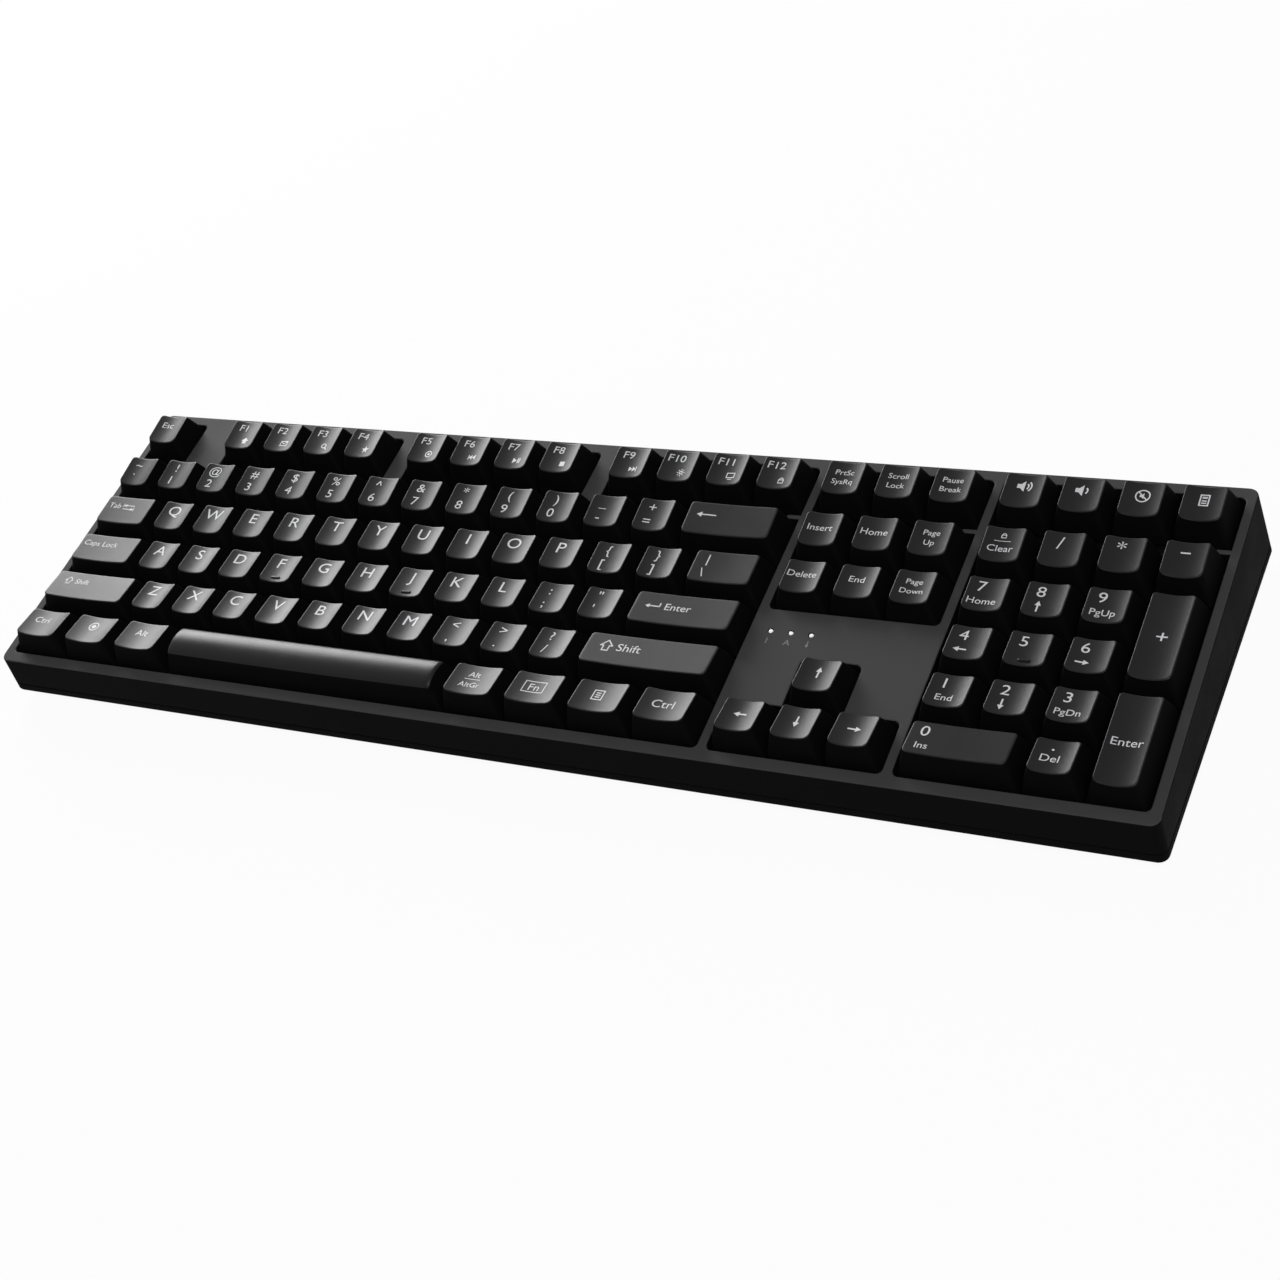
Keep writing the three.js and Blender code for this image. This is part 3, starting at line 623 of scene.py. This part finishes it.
def side_extrusion(profile, x):
    """A foot's side profile carried across its width, its two ends drawn in a little."""
    half, edge = FOOT["width"] / 2, FOOT["edge"]
    cy = sum(p[0] for p in profile) / len(profile)
    cz = sum(p[1] for p in profile) / len(profile)
    rings = []
    for offset, shrink in ((-half, edge), (-half + edge, 0), (half - edge, 0), (half, edge)):
        ring = []
        for y, z in profile:
            sy = y + (shrink * (1 if y < cy else -1))
            sz = z + (shrink * (1 if z < cz else -1))
            ring.append((x + offset, FOOT["y"] + sy, FOOT["pivot"] + sz))
        rings.append(ring)
    return lofted(rings)


def build_feet():
    for name, x in (("foot_left", -FOOT["x"]), ("foot_right", FOOT["x"])):
        base = as_cutter(side_extrusion(foot_profile(), x))
        reach = FOOT["width"] / 2 + FOOT["pin_length"] - 0.1
        ring = circle(0, 0, FOOT["pin"] - 0.02, 20)
        pin = lofted([[(x + side, FOOT["y"] + y, FOOT["pivot"] + z) for y, z in ring]
                      for side in (-reach, reach)])
        steps = [join(pin)]
        front, back = FOOT["y"] - FOOT_HOLLOW["front"], FOOT["y"] - FOOT_HOLLOW["back"]
        low = FOOT["pivot"] - FOOT["round"] - 1
        for i in (-1, 0, 1):
            middle = x + i * FOOT_HOLLOW["pitch"]
            left, right = middle - FOOT_HOLLOW["half"], middle + FOOT_HOLLOW["half"]
            hollow = rounded_outline(left, front, right, back, FOOT_HOLLOW["corner"])
            steps.append(cut(prism_mesh(hollow, low, FOOT["pivot"] - 0.2)))
        piece = finish_mesh(booleans(base, steps), name + "_body", DESK_TO_WORLD, "lower")
        place(weigh_normals(piece), name, "foot", name)
        tip = finish_mesh(side_extrusion(tip_profile(), x), name + "_tip", DESK_TO_WORLD, "rubber")
        place(tip, name, "rubber")


# ---------------- lights
def build_lights():
    for i in range(LIGHT["count"]):
        x, y = light_x(i), LIGHT["row"] * UNIT
        rings = [at_height(circle(x, y, LIGHT["pip"]), -1.0)]
        for cosine, sine in quarter(4)[:-1]:
            radius = LIGHT["pip"] * (0.25 + 0.75 * cosine)
            rings.append(at_height(circle(x, y, radius), BEZEL["z"] - 0.35 + 0.3 * sine))
        piece = finish_mesh(lofted(rings), f"indicator_pip_{i + 1}", KEY_TO_WORLD, "pip", 60)
        place(piece, "case", "light_guide", *(["indicator_light_guide"] if i == 0 else []))


# ---------------- keycaps
def cap_shape(width, depth, row):
    """Sizes of one cap, from the size of its cell."""
    height, lean = ROWS[row]
    narrow, is_bar = width < WIDE_CAP, width > BAR_CAP
    return {
        "half_base": (width - CAP_GAP) / 2, "half_base_depth": (depth - CAP_GAP) / 2,
        "half_top": (width - 2 * CAP["top_inset"]) / 2,
        "half_depth": (depth - UNIT + CAP["top_depth"]) / 2,
        "height": height, "lean": math.tan(math.radians(lean)), "bar": is_bar,
        "dish": CAP["dish"] if narrow else CAP["wide_dish"],
        "bulge": CAP["bulge"] if narrow else CAP["wide_bulge"],
        "fillet": CAP["bar_fillet"] if is_bar else CAP["fillet"],
    }


def top_height(shape, x, y):
    """Height of a cap's top face over its bottom edge. Caps are dished, and the space bar is crowned."""
    from_middle = y - CAP["skew"]
    if shape["bar"]:
        radius, over = CROWN["radius"], from_middle + CROWN["forward"]
        return shape["height"] + CROWN["lift"] - (radius - math.sqrt(radius * radius - over * over))
    share = min(1.0, abs(x) / shape["half_top"])
    level = shape["height"] + from_middle * shape["lean"]
    return level - shape["dish"] * (1 - share * share) + CAP["rise"]


def between(low, high, share):
    return low + (high - low) * share


def cap_outline(shape, inset, share):
    """The cap's outline at a share of the way from its bottom edge to its top, drawn in."""
    half_x = between(shape["half_base"], shape["half_top"], share) - inset
    half_y = between(shape["half_base_depth"], shape["half_depth"], share) - inset
    middle = CAP["skew"] * share
    front, back = (
        max(between(CAP["base_corner"], CAP[corner], share) - inset * 0.6, 0.3)
        for corner in ("front_corner", "back_corner")
    )
    outline = rounded_outline(
        -half_x, middle - half_y, half_x, middle + half_y, front, back,
        steps=5, edge_steps=CAP["edge_steps"])
    bulge = shape["bulge"] * share
    return [
        (x, y - bulge * (1 - (x / half_x) ** 2) * max(0.0, (middle - y) / half_y))
        for x, y in outline
    ]


def cap_mesh(shape):
    """A hollow cap: outer walls that bow out a little, a round edge, and a dished top."""
    fillet = shape["fillet"]
    ceiling = shape["height"] - CAP["roof"] - 1.0
    rings = []
    for level in (1.0, 0.5, 0.0):
        rings.append(at_height(cap_outline(shape, CAP["wall"], level), level * ceiling))
    for level in (0.0, 0.03, 0.3, 0.6, 0.85):
        outline = cap_outline(shape, -CAP["bow"] * math.sin(math.pi * level), level)
        rings.append([(x, y, level * (top_height(shape, x, y) - fillet)) for x, y in outline])
    for cosine, sine in quarter(5):
        outline = cap_outline(shape, fillet * (1 - cosine), 1.0)
        rings.append([(x, y, top_height(shape, x, y) - fillet * (1 - sine)) for x, y in outline])
    rim = cap_outline(shape, fillet, 1.0)
    for share in (0.97, 0.88, 0.74, 0.58, 0.42, 0.26, 0.1):
        outline = [(x * share, between(CAP["skew"], y, share)) for x, y in rim]
        rings.append([(x, y, top_height(shape, x, y)) for x, y in outline])
    return lofted(rings)


def add_stem(bm, shape):
    """The round post under a cap, and the switch's slider that it sits on."""
    post = circle(0, 0, 2.75, 20)
    slider = rounded_outline(-2.65, -2.65, 2.65, 2.65, 0.5, steps=2)
    top = shape["height"] - CAP["roof"] - 0.6
    for outline, z0, z1 in ((post, 0.6, top), (slider, -1.75, 0.5)):
        loft(bm, [at_height(outline, z0), at_height(outline, z1)])


def build_cap(name, node, matrix, cell, row, legends):
    shape = cap_shape(*cell, row)
    bm = cap_mesh(shape)
    add_stem(bm, shape)
    # The cap's steep sides take the darker material: painted shade.
    piece = finish_mesh(bm, name, matrix, "cap", 50, "steep_cap_painted_shade")
    place(piece, node, "keycap", node)
    if legends:
        marks = finish_mesh(legend_mesh(shape, legends), name + "_legend", matrix, "legend", 60)
        place(marks, node, "keycap")


# ---------------- legends
PRINT_HEIGHT = 0.03          # of the legends over the surface that they are printed on
PRINT_STEP = 0.9             # longest edge of a legend, which follows a curved top
FONT_CAPITAL = 0.73          # height of the built-in font's capitals, at a size of 1
WORD_SPREAD = 1.12           # how much wider than the font the legends are
LETTER, SIGN, WORD, SMALL = 4.7, 3.7, 2.5, 2.1


def polygon(*points):
    return [list(points)]


def bar(x0, y0, x1, y1, width):
    """A straight stroke from one point to another."""
    direction = Vector((x1 - x0, y1 - y0)).normalized() * (width / 2)
    side = Vector((-direction.y, direction.x))
    corners = [Vector((x0, y0)) + side, Vector((x0, y0)) - side,
               Vector((x1, y1)) - side, Vector((x1, y1)) + side]
    return [[tuple(c) for c in corners]]


def strokes(points, width, closed=False):
    ends = points[1:] + (points[:1] if closed else [])
    made = []
    for (x0, y0), (x1, y1) in zip(points, ends):
        reach = Vector((x1 - x0, y1 - y0)).normalized() * (width / 2)
        made += bar(x0 - reach.x, y0 - reach.y, x1 + reach.x, y1 + reach.y, width)
    return made


def arc(x, y, radius, start, end, width, steps=10):
    """A round stroke, from one angle to another in degrees."""
    made = []
    for i in range(steps):
        a, b = (math.radians(start + (end - start) * k / steps) for k in (i, i + 1))
        inner, outer = radius - width / 2, radius + width / 2
        made.append([
            (x + inner * math.cos(a), y + inner * math.sin(a)),
            (x + outer * math.cos(a), y + outer * math.sin(a)),
            (x + outer * math.cos(b), y + outer * math.sin(b)),
            (x + inner * math.cos(b), y + inner * math.sin(b)),
        ])
    return made


def arrow(dx, dy, length=1.0, head=0.42, width=0.13):
    """An arrow through the middle, pointing along dx, dy."""
    tip = Vector((dx, dy)) * length / 2
    neck = tip - Vector((dx, dy)) * head
    side = Vector((-dy, dx)) * head * 0.55
    shaft = bar(-tip.x, -tip.y, neck.x, neck.y, width)
    return shaft + polygon(tuple(tip), tuple(neck + side), tuple(neck - side))


def speaker():
    return polygon((-0.5, -0.16), (-0.28, -0.16), (0.0, -0.42), (0.0, 0.42), (-0.28, 0.16), (-0.5, 0.16))


def shifted(shapes, dx, dy, scale=1.0):
    return [[(x * scale + dx, y * scale + dy) for x, y in shape] for shape in shapes]


def box_outline(x0, y0, x1, y1, width):
    return strokes([(x0, y0), (x1, y0), (x1, y1), (x0, y1)], width, closed=True)


# Icons are drawn about a middle at 0, 0, in a square with sides of 1.
ICONS = {
    "left": arrow(-1, 0), "right": arrow(1, 0), "up": arrow(0, 1), "down": arrow(0, -1),
    "backspace": arrow(-1, 0, 1.9, 0.5, 0.12),
    "return": bar(-0.55, -0.1, 0.6, -0.1, 0.13) + bar(0.6, -0.16, 0.6, 0.35, 0.13)
    + polygon((-0.95, -0.1), (-0.5, 0.15), (-0.5, -0.35)),
    "shift": strokes([(0, 0.5), (0.45, 0.02), (0.22, 0.02), (0.22, -0.42), (-0.22, -0.42),
                      (-0.22, 0.02), (-0.45, 0.02)], 0.09, closed=True),
    "tab": shifted(arrow(-1, 0, 1.6, 0.4, 0.1), 0, 0.24) + bar(-0.86, 0.0, -0.86, 0.48, 0.09)
    + shifted(arrow(1, 0, 1.6, 0.4, 0.1), 0, -0.3) + bar(0.86, -0.54, 0.86, -0.06, 0.09),
    "louder": speaker() + arc(0, 0, 0.25, -50, 50, 0.1) + arc(0, 0, 0.45, -50, 50, 0.1),
    "quieter": speaker() + arc(0, 0, 0.28, -50, 50, 0.1),
    "mute": arc(0, 0, 0.5, 0, 360, 0.1, 28) + shifted(speaker(), 0.08, 0, 0.6)
    + bar(-0.34, 0.34, 0.34, -0.34, 0.09),
    "calculator": box_outline(-0.3, -0.45, 0.3, 0.45, 0.1)
    + box_outline(-0.12, 0.2, 0.12, 0.26, 0.12)
    + bar(-0.18, -0.05, 0.18, -0.05, 0.1) + bar(-0.18, -0.25, 0.18, -0.25, 0.1),
    "menu": box_outline(-0.4, -0.45, 0.4, 0.45, 0.09) + bar(-0.2, 0.2, 0.2, 0.2, 0.09)
    + bar(-0.2, 0.0, 0.2, 0.0, 0.09) + bar(-0.2, -0.2, 0.2, -0.2, 0.09),
    "system": arc(0, 0, 0.42, 0, 360, 0.1, 24) + arc(0, 0, 0.11, 0, 360, 0.2, 14),
    "home": polygon((-0.5, 0.0), (0.5, 0.0), (0.0, 0.45))
    + polygon((-0.3, -0.42), (0.3, -0.42), (0.3, 0), (-0.3, 0)),
    "mail": box_outline(-0.5, -0.32, 0.5, 0.32, 0.1)
    + bar(-0.5, 0.3, 0, -0.05, 0.1) + bar(0.5, 0.3, 0, -0.05, 0.1),
    "search": arc(-0.08, 0.08, 0.3, 0, 360, 0.12, 18) + bar(0.14, -0.14, 0.45, -0.45, 0.14),
    "star": polygon((0.0, 0.5), (0.14, 0.14), (0.5, 0.14), (0.2, -0.08), (0.3, -0.45), (0.0, -0.22),
                    (-0.3, -0.45), (-0.2, -0.08), (-0.5, 0.14), (-0.14, 0.14)),
    "disc": arc(0, 0, 0.4, 0, 360, 0.12, 24) + arc(0, 0, 0.08, 0, 360, 0.16, 12),
    "play": polygon((-0.5, -0.36), (0.05, 0), (-0.5, 0.36)) + bar(0.2, -0.36, 0.2, 0.36, 0.13)
    + bar(0.42, -0.36, 0.42, 0.36, 0.13),
    "stop": polygon((-0.32, -0.32), (0.32, -0.32), (0.32, 0.32), (-0.32, 0.32)),
    "back": polygon((0.0, -0.32), (0.0, 0.32), (-0.42, 0)) + polygon((0.45, -0.32), (0.45, 0.32), (0.03, 0))
    + bar(-0.46, -0.32, -0.46, 0.32, 0.1),
    "forward": polygon((0.0, -0.32), (0.42, 0), (0.0, 0.32))
    + polygon((-0.45, -0.32), (-0.03, 0), (-0.45, 0.32)) + bar(0.46, -0.32, 0.46, 0.32, 0.1),
    "screen": box_outline(-0.45, -0.2, 0.45, 0.4, 0.1) + bar(-0.25, -0.42, 0.25, -0.42, 0.1),
    "lock": box_outline(-0.28, -0.42, 0.28, 0.0, 0.1) + arc(0, 0.05, 0.2, 0, 180, 0.09),
    "sun": arc(0, 0, 0.18, 0, 360, 0.12, 14)
    + [stroke for k in range(8) for stroke in bar(
        0.32 * math.cos(k * math.pi / 4), 0.32 * math.sin(k * math.pi / 4),
        0.5 * math.cos(k * math.pi / 4), 0.5 * math.sin(k * math.pi / 4), 0.09)],
    "rule": bar(-0.9, 0, 0.9, 0, 0.07),
    "minus": bar(-0.32, 0, 0.32, 0, 0.12),
    "frame": box_outline(-0.85, -0.5, 0.85, 0.5, 0.07),
}


@functools.cache
def word(text, cap_height):
    """A word's triangles about its own middle, at a height of its capitals."""
    curve = bpy.data.curves.new("word", "FONT")
    curve.body = text
    curve.size = 1.0
    curve.resolution_u = 4
    holder = add_object("word", curve)
    mesh = bpy.data.meshes.new_from_object(
        holder.evaluated_get(bpy.context.evaluated_depsgraph_get()))
    corners = [Vector(v.co[:2]) for v in mesh.vertices]
    mesh.calc_loop_triangles()
    triangles = [[corners[i] for i in t.vertices] for t in mesh.loop_triangles]
    bpy.data.objects.remove(holder)
    bpy.data.curves.remove(curve)
    bpy.data.meshes.remove(mesh)
    left, right = min(c.x for c in corners), max(c.x for c in corners)
    scale = cap_height / FONT_CAPITAL
    middle = Vector(((left + right) / 2, FONT_CAPITAL / 2))
    return [
        [((p - middle).x * scale * WORD_SPREAD, (p - middle).y * scale) for p in triangle]
        for triangle in triangles
    ]


def mark_shapes(mark, size):
    """The outlines of an icon of a size, or of a word with capitals of that height."""
    return shifted(ICONS[mark], 0, 0, size) if mark in ICONS else word(mark, size)


def legend_mesh(shape, legends):
    """Print on a cap's top: each mark is text or an icon, its place and its size. Places are in mm
    from the top's left and back edges, or from the middle where x is None."""
    bm = bmesh.new()
    for mark, x, y, size in legends:
        at_x = 0.0 if x is None else x - shape["half_top"]
        at_y = CAP["skew"] + shape["half_depth"] - y
        for outline in mark_shapes(mark, size):
            bm.faces.new([bm.verts.new((at_x + px, at_y + py, 0)) for px, py in outline])
    bmesh.ops.remove_doubles(bm, verts=bm.verts, dist=1e-5)
    bmesh.ops.triangulate(bm, faces=bm.faces)
    for _ in range(3):
        long = [e for e in bm.edges if e.calc_length() > PRINT_STEP]
        if not long:
            break
        bmesh.ops.subdivide_edges(bm, edges=long, cuts=1)
        bmesh.ops.triangulate(bm, faces=bm.faces)
    for vert in bm.verts:
        vert.co.z = top_height(shape, vert.co.x, vert.co.y) + PRINT_HEIGHT
    for face in bm.faces:
        if face.normal.z < 0:
            face.normal_flip()
    return bm


def letter(text):
    return [(text, 5.6, 4.1, LETTER)]


def pair(upper, lower):
    return [(upper, 5.0, 3.4, SIGN), (lower, 4.6, 9.2, SIGN)]


def two_lines(upper, lower):
    return [(upper, 6.4, 4.4, SMALL), (lower, 6.4, 8.2, SMALL)]


def numpad(number, lower):
    place_x, size = (4.8, 4.2) if lower in ICONS else (6.0, WORD)
    return [(number, 4.6, 3.6, 4.1), (lower, place_x, 9.4, size)]


def function_key(number, icon):
    return [(f"F{number}", 5.0, 3.3, 3.1), (icon, 8.4, 9.4, 3.2)]


FUNCTION_ICONS = ("home", "mail", "search", "star", "disc", "back", "play", "stop",
                  "forward", "sun", "screen", "lock")
FUNCTION_KEYS = [function_key(i + 1, icon) for i, icon in enumerate(FUNCTION_ICONS)]
# Each key or bank: its row, and the legends of its caps from left to right.
KEYS = {
    "key_escape": ("function", [[("Esc", 5.6, 4.6, 2.8)]]),
    "keys_f1_to_f4": ("function", FUNCTION_KEYS[0:4]),
    "keys_f5_to_f8": ("function", FUNCTION_KEYS[4:8]),
    "keys_f9_to_f12": ("function", FUNCTION_KEYS[8:12]),
    "keys_print_to_pause": ("function", [
        two_lines("PrtSc", "SysRq"), two_lines("Scroll", "Lock"), two_lines("Pause", "Break")]),
    "keys_media": ("function", [
        [("louder", 6.6, 4.9, 5.0)], [("quieter", 6.6, 4.9, 5.0)],
        [("mute", 6.6, 5.4, 4.4)], [("calculator", 6.6, 5.4, 4.4)]]),
    "keys_digits_left": ("digits", [
        pair("~", "`"), pair("!", "1"), pair("@", "2"), pair("#", "3"), pair("$", "4"),
        pair("%", "5")]),
    "keys_digits_right": ("digits", [
        pair("^", "6"), pair("&", "7"), pair("*", "8"), pair("(", "9"), pair(")", "0"),
        pair("_", "-"), pair("+", "=")]),
    "key_backspace": ("digits", [[("backspace", 7.2, 5.2, 3.8)]]),
    "keys_insert_to_page_up": ("digits", [
        [("Insert", 6.2, 6.0, WORD)], [("Home", 6.2, 6.0, WORD)], two_lines("Page", "Up")]),
    "keys_numpad_operators": ("digits", [
        [("lock", 6.2, 3.0, 2.6), ("rule", 6.2, 5.4, 3.0), ("Clear", 6.2, 8.2, WORD)],
        letter("/"), letter("*"), [("minus", 6.2, 4.2, LETTER)]]),
    "key_tab": ("upper", [[("Tab", 5.0, 4.6, WORD), ("tab", 11.8, 5.0, 3.2)]]),
    "keys_upper_left": ("upper", [letter(c) for c in "QWERT"]),
    "keys_upper_right": ("upper", [letter(c) for c in "YUIOP"] + [pair("{", "["), pair("}", "]")]),
    "key_backslash": ("upper", [pair("|", "\\")]),
    "keys_delete_to_page_down": ("upper", [
        [("Delete", 6.2, 5.6, WORD)], [("End", 6.2, 5.6, WORD)], two_lines("Page", "Down")]),
    "keys_numpad_7_to_9": ("upper", [numpad("7", "Home"), numpad("8", "up"), numpad("9", "PgUp")]),
    "key_caps_lock": ("home", [[("Caps Lock", 10.0, 4.4, WORD)]]),
    "keys_home_left": ("home", [letter(c) for c in "ASDFG"]),
    "keys_home_right": ("home", [letter(c) for c in "HJKL"] + [pair(":", ";"), pair("\"", "'")]),
    "key_enter": ("home", [[("return", 7.6, 5.6, 3.4), ("Enter", 16.4, 5.6, 2.9)]]),
    "keys_numpad_4_to_6": ("home", [numpad("4", "left"), [("5", 4.6, 3.6, 4.1)], numpad("6", "right")]),
    "key_numpad_plus": ("tall", [[("+", None, 16.2, LETTER)]]),
    "key_shift_left": ("lower", [[("shift", 7.0, 4.6, 3.6), ("Shift", 13.6, 4.6, WORD)]]),
    "keys_lower_left": ("lower", [letter(c) for c in "ZXCVB"]),
    "keys_lower_right": ("lower", [
        letter("N"), letter("M"), pair("<", ","), pair(">", "."), pair("?", "/")]),
    "key_shift_right": ("lower", [[("shift", 7.6, 5.4, 4.8), ("Shift", 16.0, 5.4, 3.3)]]),
    "key_arrow_up": ("lower", [[("up", 6.6, 5.6, 4.4)]]),
    "keys_numpad_1_to_3": ("lower", [numpad("1", "End"), numpad("2", "down"), numpad("3", "PgDn")]),
    "key_control_left": ("control", [[("Ctrl", 7.4, 5.0, 2.8)]]),
    "key_system": ("control", [[("system", 8.6, 5.0, 4.4)]]),
    "key_alt_left": ("control", [[("Alt", 8.0, 5.0, 2.8)]]),
    "key_space": ("control", [[]]),
    "key_alt_right": ("control", [
        [("Alt", 8.4, 4.2, 2.4), ("rule", 8.4, 6.4, 3.4), ("AltGr", 8.4, 8.8, 2.2)]]),
    "key_function": ("control", [[("Fn", 8.4, 6.2, 3.0), ("frame", 8.4, 6.2, 4.6)]]),
    "key_menu": ("control", [[("menu", 8.4, 6.0, 4.4)]]),
    "key_control_right": ("control", [[("Ctrl", 8.4, 6.2, 3.3)]]),
    "key_arrow_left": ("control", [[("left", 6.6, 6.2, 4.4)]]),
    "key_arrow_down": ("control", [[("down", 6.6, 6.2, 4.4)]]),
    "key_arrow_right": ("control", [[("right", 6.6, 6.2, 4.4)]]),
    "key_numpad_0": ("control", [[("0", 4.8, 3.6, 4.1), ("Ins", 5.4, 9.4, WORD)]]),
    "key_numpad_point": ("control", [[(".", 5.6, 2.2, 4.4), ("Del", 5.6, 7.4, 2.8)]]),
    "key_numpad_enter": ("tall", [[("Enter", None, 17.0, 2.9)]]),
}
# Nodes and places of F, J and 5, and the small raised bar that a finger feels on them.
HOMING_CAPS = {("keys_home_left", 3), ("keys_home_right", 1), ("keys_numpad_4_to_6", 1)}
HOMING_BAR = {"half_length": 1.9, "half_width": 0.45, "from_front": 1.9, "corner": 0.14}


def build_homing_bar(name, node, matrix, row):
    shape = cap_shape(UNIT, UNIT, row)
    length, width = HOMING_BAR["half_length"], HOMING_BAR["half_width"]
    y = CAP["skew"] - shape["half_depth"] + HOMING_BAR["from_front"]
    rings = []
    for lift, inset in ((-0.3, 0.0), (0.15, 0.0), (0.32, 0.12), (0.38, 0.3)):
        area = (-length + inset, y - width + inset, length - inset, y + width - inset)
        outline = rounded_outline(*area, HOMING_BAR["corner"])
        rings.append([(px, py, top_height(shape, px, py) + lift) for px, py in outline])
    place(finish_mesh(lofted(rings), name, matrix, "cap", 60), node, "keycap")


def build_keys():
    for node, (row, caps) in KEYS.items():
        x0, y0, x1, y1 = key_area(node)
        width = (x1 - x0) / len(caps)
        for i, legends in enumerate(caps):
            centre = (x0 + width * (i + 0.5), (y0 + y1) / 2, 0)
            matrix = KEY_TO_WORLD @ Matrix.Translation(centre)
            name = f"cap_{node}_{i + 1}"
            build_cap(name, node, matrix, (width, y1 - y0), row, legends)
            if (node, i) in HOMING_CAPS:
                build_homing_bar(name + "_homing_bar", node, matrix, row)


def build_light_marks():
    """Small marks in front of the indicator lights."""
    y, z = LIGHT["row"] * UNIT - LIGHT["mark"], BEZEL["z"] + PRINT_HEIGHT
    for i, (mark, size) in enumerate((("1", 2.3), ("A", 2.3), ("down", 2.6))):
        x = light_x(i)
        bm = bmesh.new()
        for outline in mark_shapes(mark, size):
            bm.faces.new([bm.verts.new((x + px, y + py, z)) for px, py in outline])
        place(finish_mesh(bm, f"light_mark_{i + 1}", KEY_TO_WORLD, "mark"), "case", "top_case")


# ---------------- carried-over nodes
NODE_MATERIALS = {
    "switch_plate": "plate", "circuit_board": "board", "controller_chip": "switch",
    "data_socket": "steel", "switches_main": "switch", "switches_navigation": "switch",
    "switches_numpad": "switch", "space_stabiliser_wire": "steel",
}


def dress_nodes():
    for node, key in NODE_MATERIALS.items():
        slots = frame["nodes"][node].material_slots
        if not slots:
            frame["nodes"][node].data.materials.append(MATERIALS[key])
        for slot in slots:
            slot.material = MATERIALS[key]


# ---------------- studio
# Lengths in metres and angles in degrees, but the lens and the sensor in millimetres.
CAMERA = {
    "lens": 60.83, "sensor": 36.0,
    "distance": 0.71079, "azimuth": 39.798, "elevation": 41.613, "roll": -22.319,
    "target": Vector((0.03397, -0.01825, 0.020)),
}


def build_camera():
    azimuth, elevation, roll = (math.radians(CAMERA[k]) for k in ("azimuth", "elevation", "roll"))
    back = Vector((math.sin(azimuth) * math.cos(elevation), -math.cos(azimuth) * math.cos(elevation),
                   math.sin(elevation)))
    level = Vector((0, 0, 1)).cross(back).normalized()
    upright = back.cross(level)
    right = level * math.cos(roll) + upright * math.sin(roll)
    up = back.cross(right)
    camera = add_object("camera", bpy.data.cameras.new("camera"))
    rotation = Matrix((right, up, back)).transposed().to_4x4()
    camera.matrix_world = Matrix.Translation(CAMERA["target"] + back * CAMERA["distance"]) @ rotation
    camera.data.lens = CAMERA["lens"]
    camera.data.sensor_width = CAMERA["sensor"]
    camera.data.clip_start = 0.01
    bpy.context.scene.camera = camera


def area_light(name, direction, distance, size, power):
    """A soft box in a direction from the keyboard, facing it."""
    light = bpy.data.lights.new(name, "AREA")
    light.shape = "RECTANGLE"
    light.size, light.size_y = size
    light.energy = power
    holder = add_object(name, light)
    away = Vector(direction).normalized()
    holder.location = away * distance
    holder.rotation_euler = away.to_track_quat("Z", "Y").to_euler()


def white_to_camera(tree, shaded, white, output, share):
    """Mixes a share of white into what the camera, reflections and glass see, and nothing else."""
    nodes, links = tree.nodes, tree.links
    path = nodes.new("ShaderNodeLightPath")
    seen = path.outputs["Is Camera Ray"]
    for other in ("Is Glossy Ray", "Is Transmission Ray"):
        either = nodes.new("ShaderNodeMath")
        either.operation = "MAXIMUM"
        links.new(seen, either.inputs[0])
        links.new(path.outputs[other], either.inputs[1])
        seen = either.outputs[0]
    part = nodes.new("ShaderNodeMath")
    part.operation = "MULTIPLY"
    part.inputs[1].default_value = share
    links.new(seen, part.inputs[0])
    mix = nodes.new("ShaderNodeMixShader")
    links.new(part.outputs[0], mix.inputs["Fac"])
    links.new(shaded, mix.inputs[1])
    links.new(white, mix.inputs[2])
    links.new(mix.outputs["Shader"], output)


FLOOR = {"half_side": 12000.0, "under_pads": 0.05, "grey": 0.4, "white": 1.05, "white_share": 0.9}


def build_floor():
    bm = bmesh.new()
    bmesh.ops.create_grid(bm, x_segments=1, y_segments=1, size=FLOOR["half_side"] * MM)
    bmesh.ops.translate(bm, verts=bm.verts, vec=(0, 0, -FLOOR["under_pads"] * MM))
    mesh = mesh_of(bm, "floor")
    floor = add_object("floor", mesh)
    paint = bpy.data.materials.new("floor_paint")
    paint.use_nodes = True
    nodes = paint.node_tree.nodes
    shader = nodes["Principled BSDF"]
    shader.inputs["Base Color"].default_value = (FLOOR["grey"], FLOOR["grey"], FLOOR["grey"], 1)
    shader.inputs["Roughness"].default_value = 0.9
    shader.inputs["Specular IOR Level"].default_value = 0.0
    white = nodes.new("ShaderNodeEmission")
    white.inputs["Strength"].default_value = FLOOR["white"]
    output = nodes["Material Output"].inputs["Surface"]
    white_to_camera(paint.node_tree, shader.outputs["BSDF"], white.outputs["Emission"], output,
                    FLOOR["white_share"])
    mesh.materials.append(paint)


def build_world():
    world = bpy.data.worlds.new("studio")
    bpy.context.scene.world = world
    world.use_nodes = True
    nodes = world.node_tree.nodes
    dim = nodes["Background"]
    dim.inputs["Color"].default_value = (1, 1, 1, 1)
    dim.inputs["Strength"].default_value = 0.1
    white = nodes.new("ShaderNodeBackground")
    white.inputs["Color"].default_value = (1, 1, 1, 1)
    output = nodes["World Output"].inputs["Surface"]
    white_to_camera(
        world.node_tree, dim.outputs["Background"], white.outputs["Background"], output, 1.0)


def build_studio():
    build_camera()
    build_floor()
    build_world()
    area_light("back_left_softbox", (-0.68, 0.60, 0.40), 1.5, (0.8, 0.62), 25)
    area_light("overhead_softbox", (0.4, -0.4, 0.85), 1.9, (1.4, 1.0), 20)
    bpy.context.scene.view_settings.view_transform = "Standard"


# ---------------- build
build_studio()
build_keys()
build_light_marks()
build_lights()
build_top_case()
build_bottom_case()
build_pads()
build_screws()
build_feet()
dress_nodes()
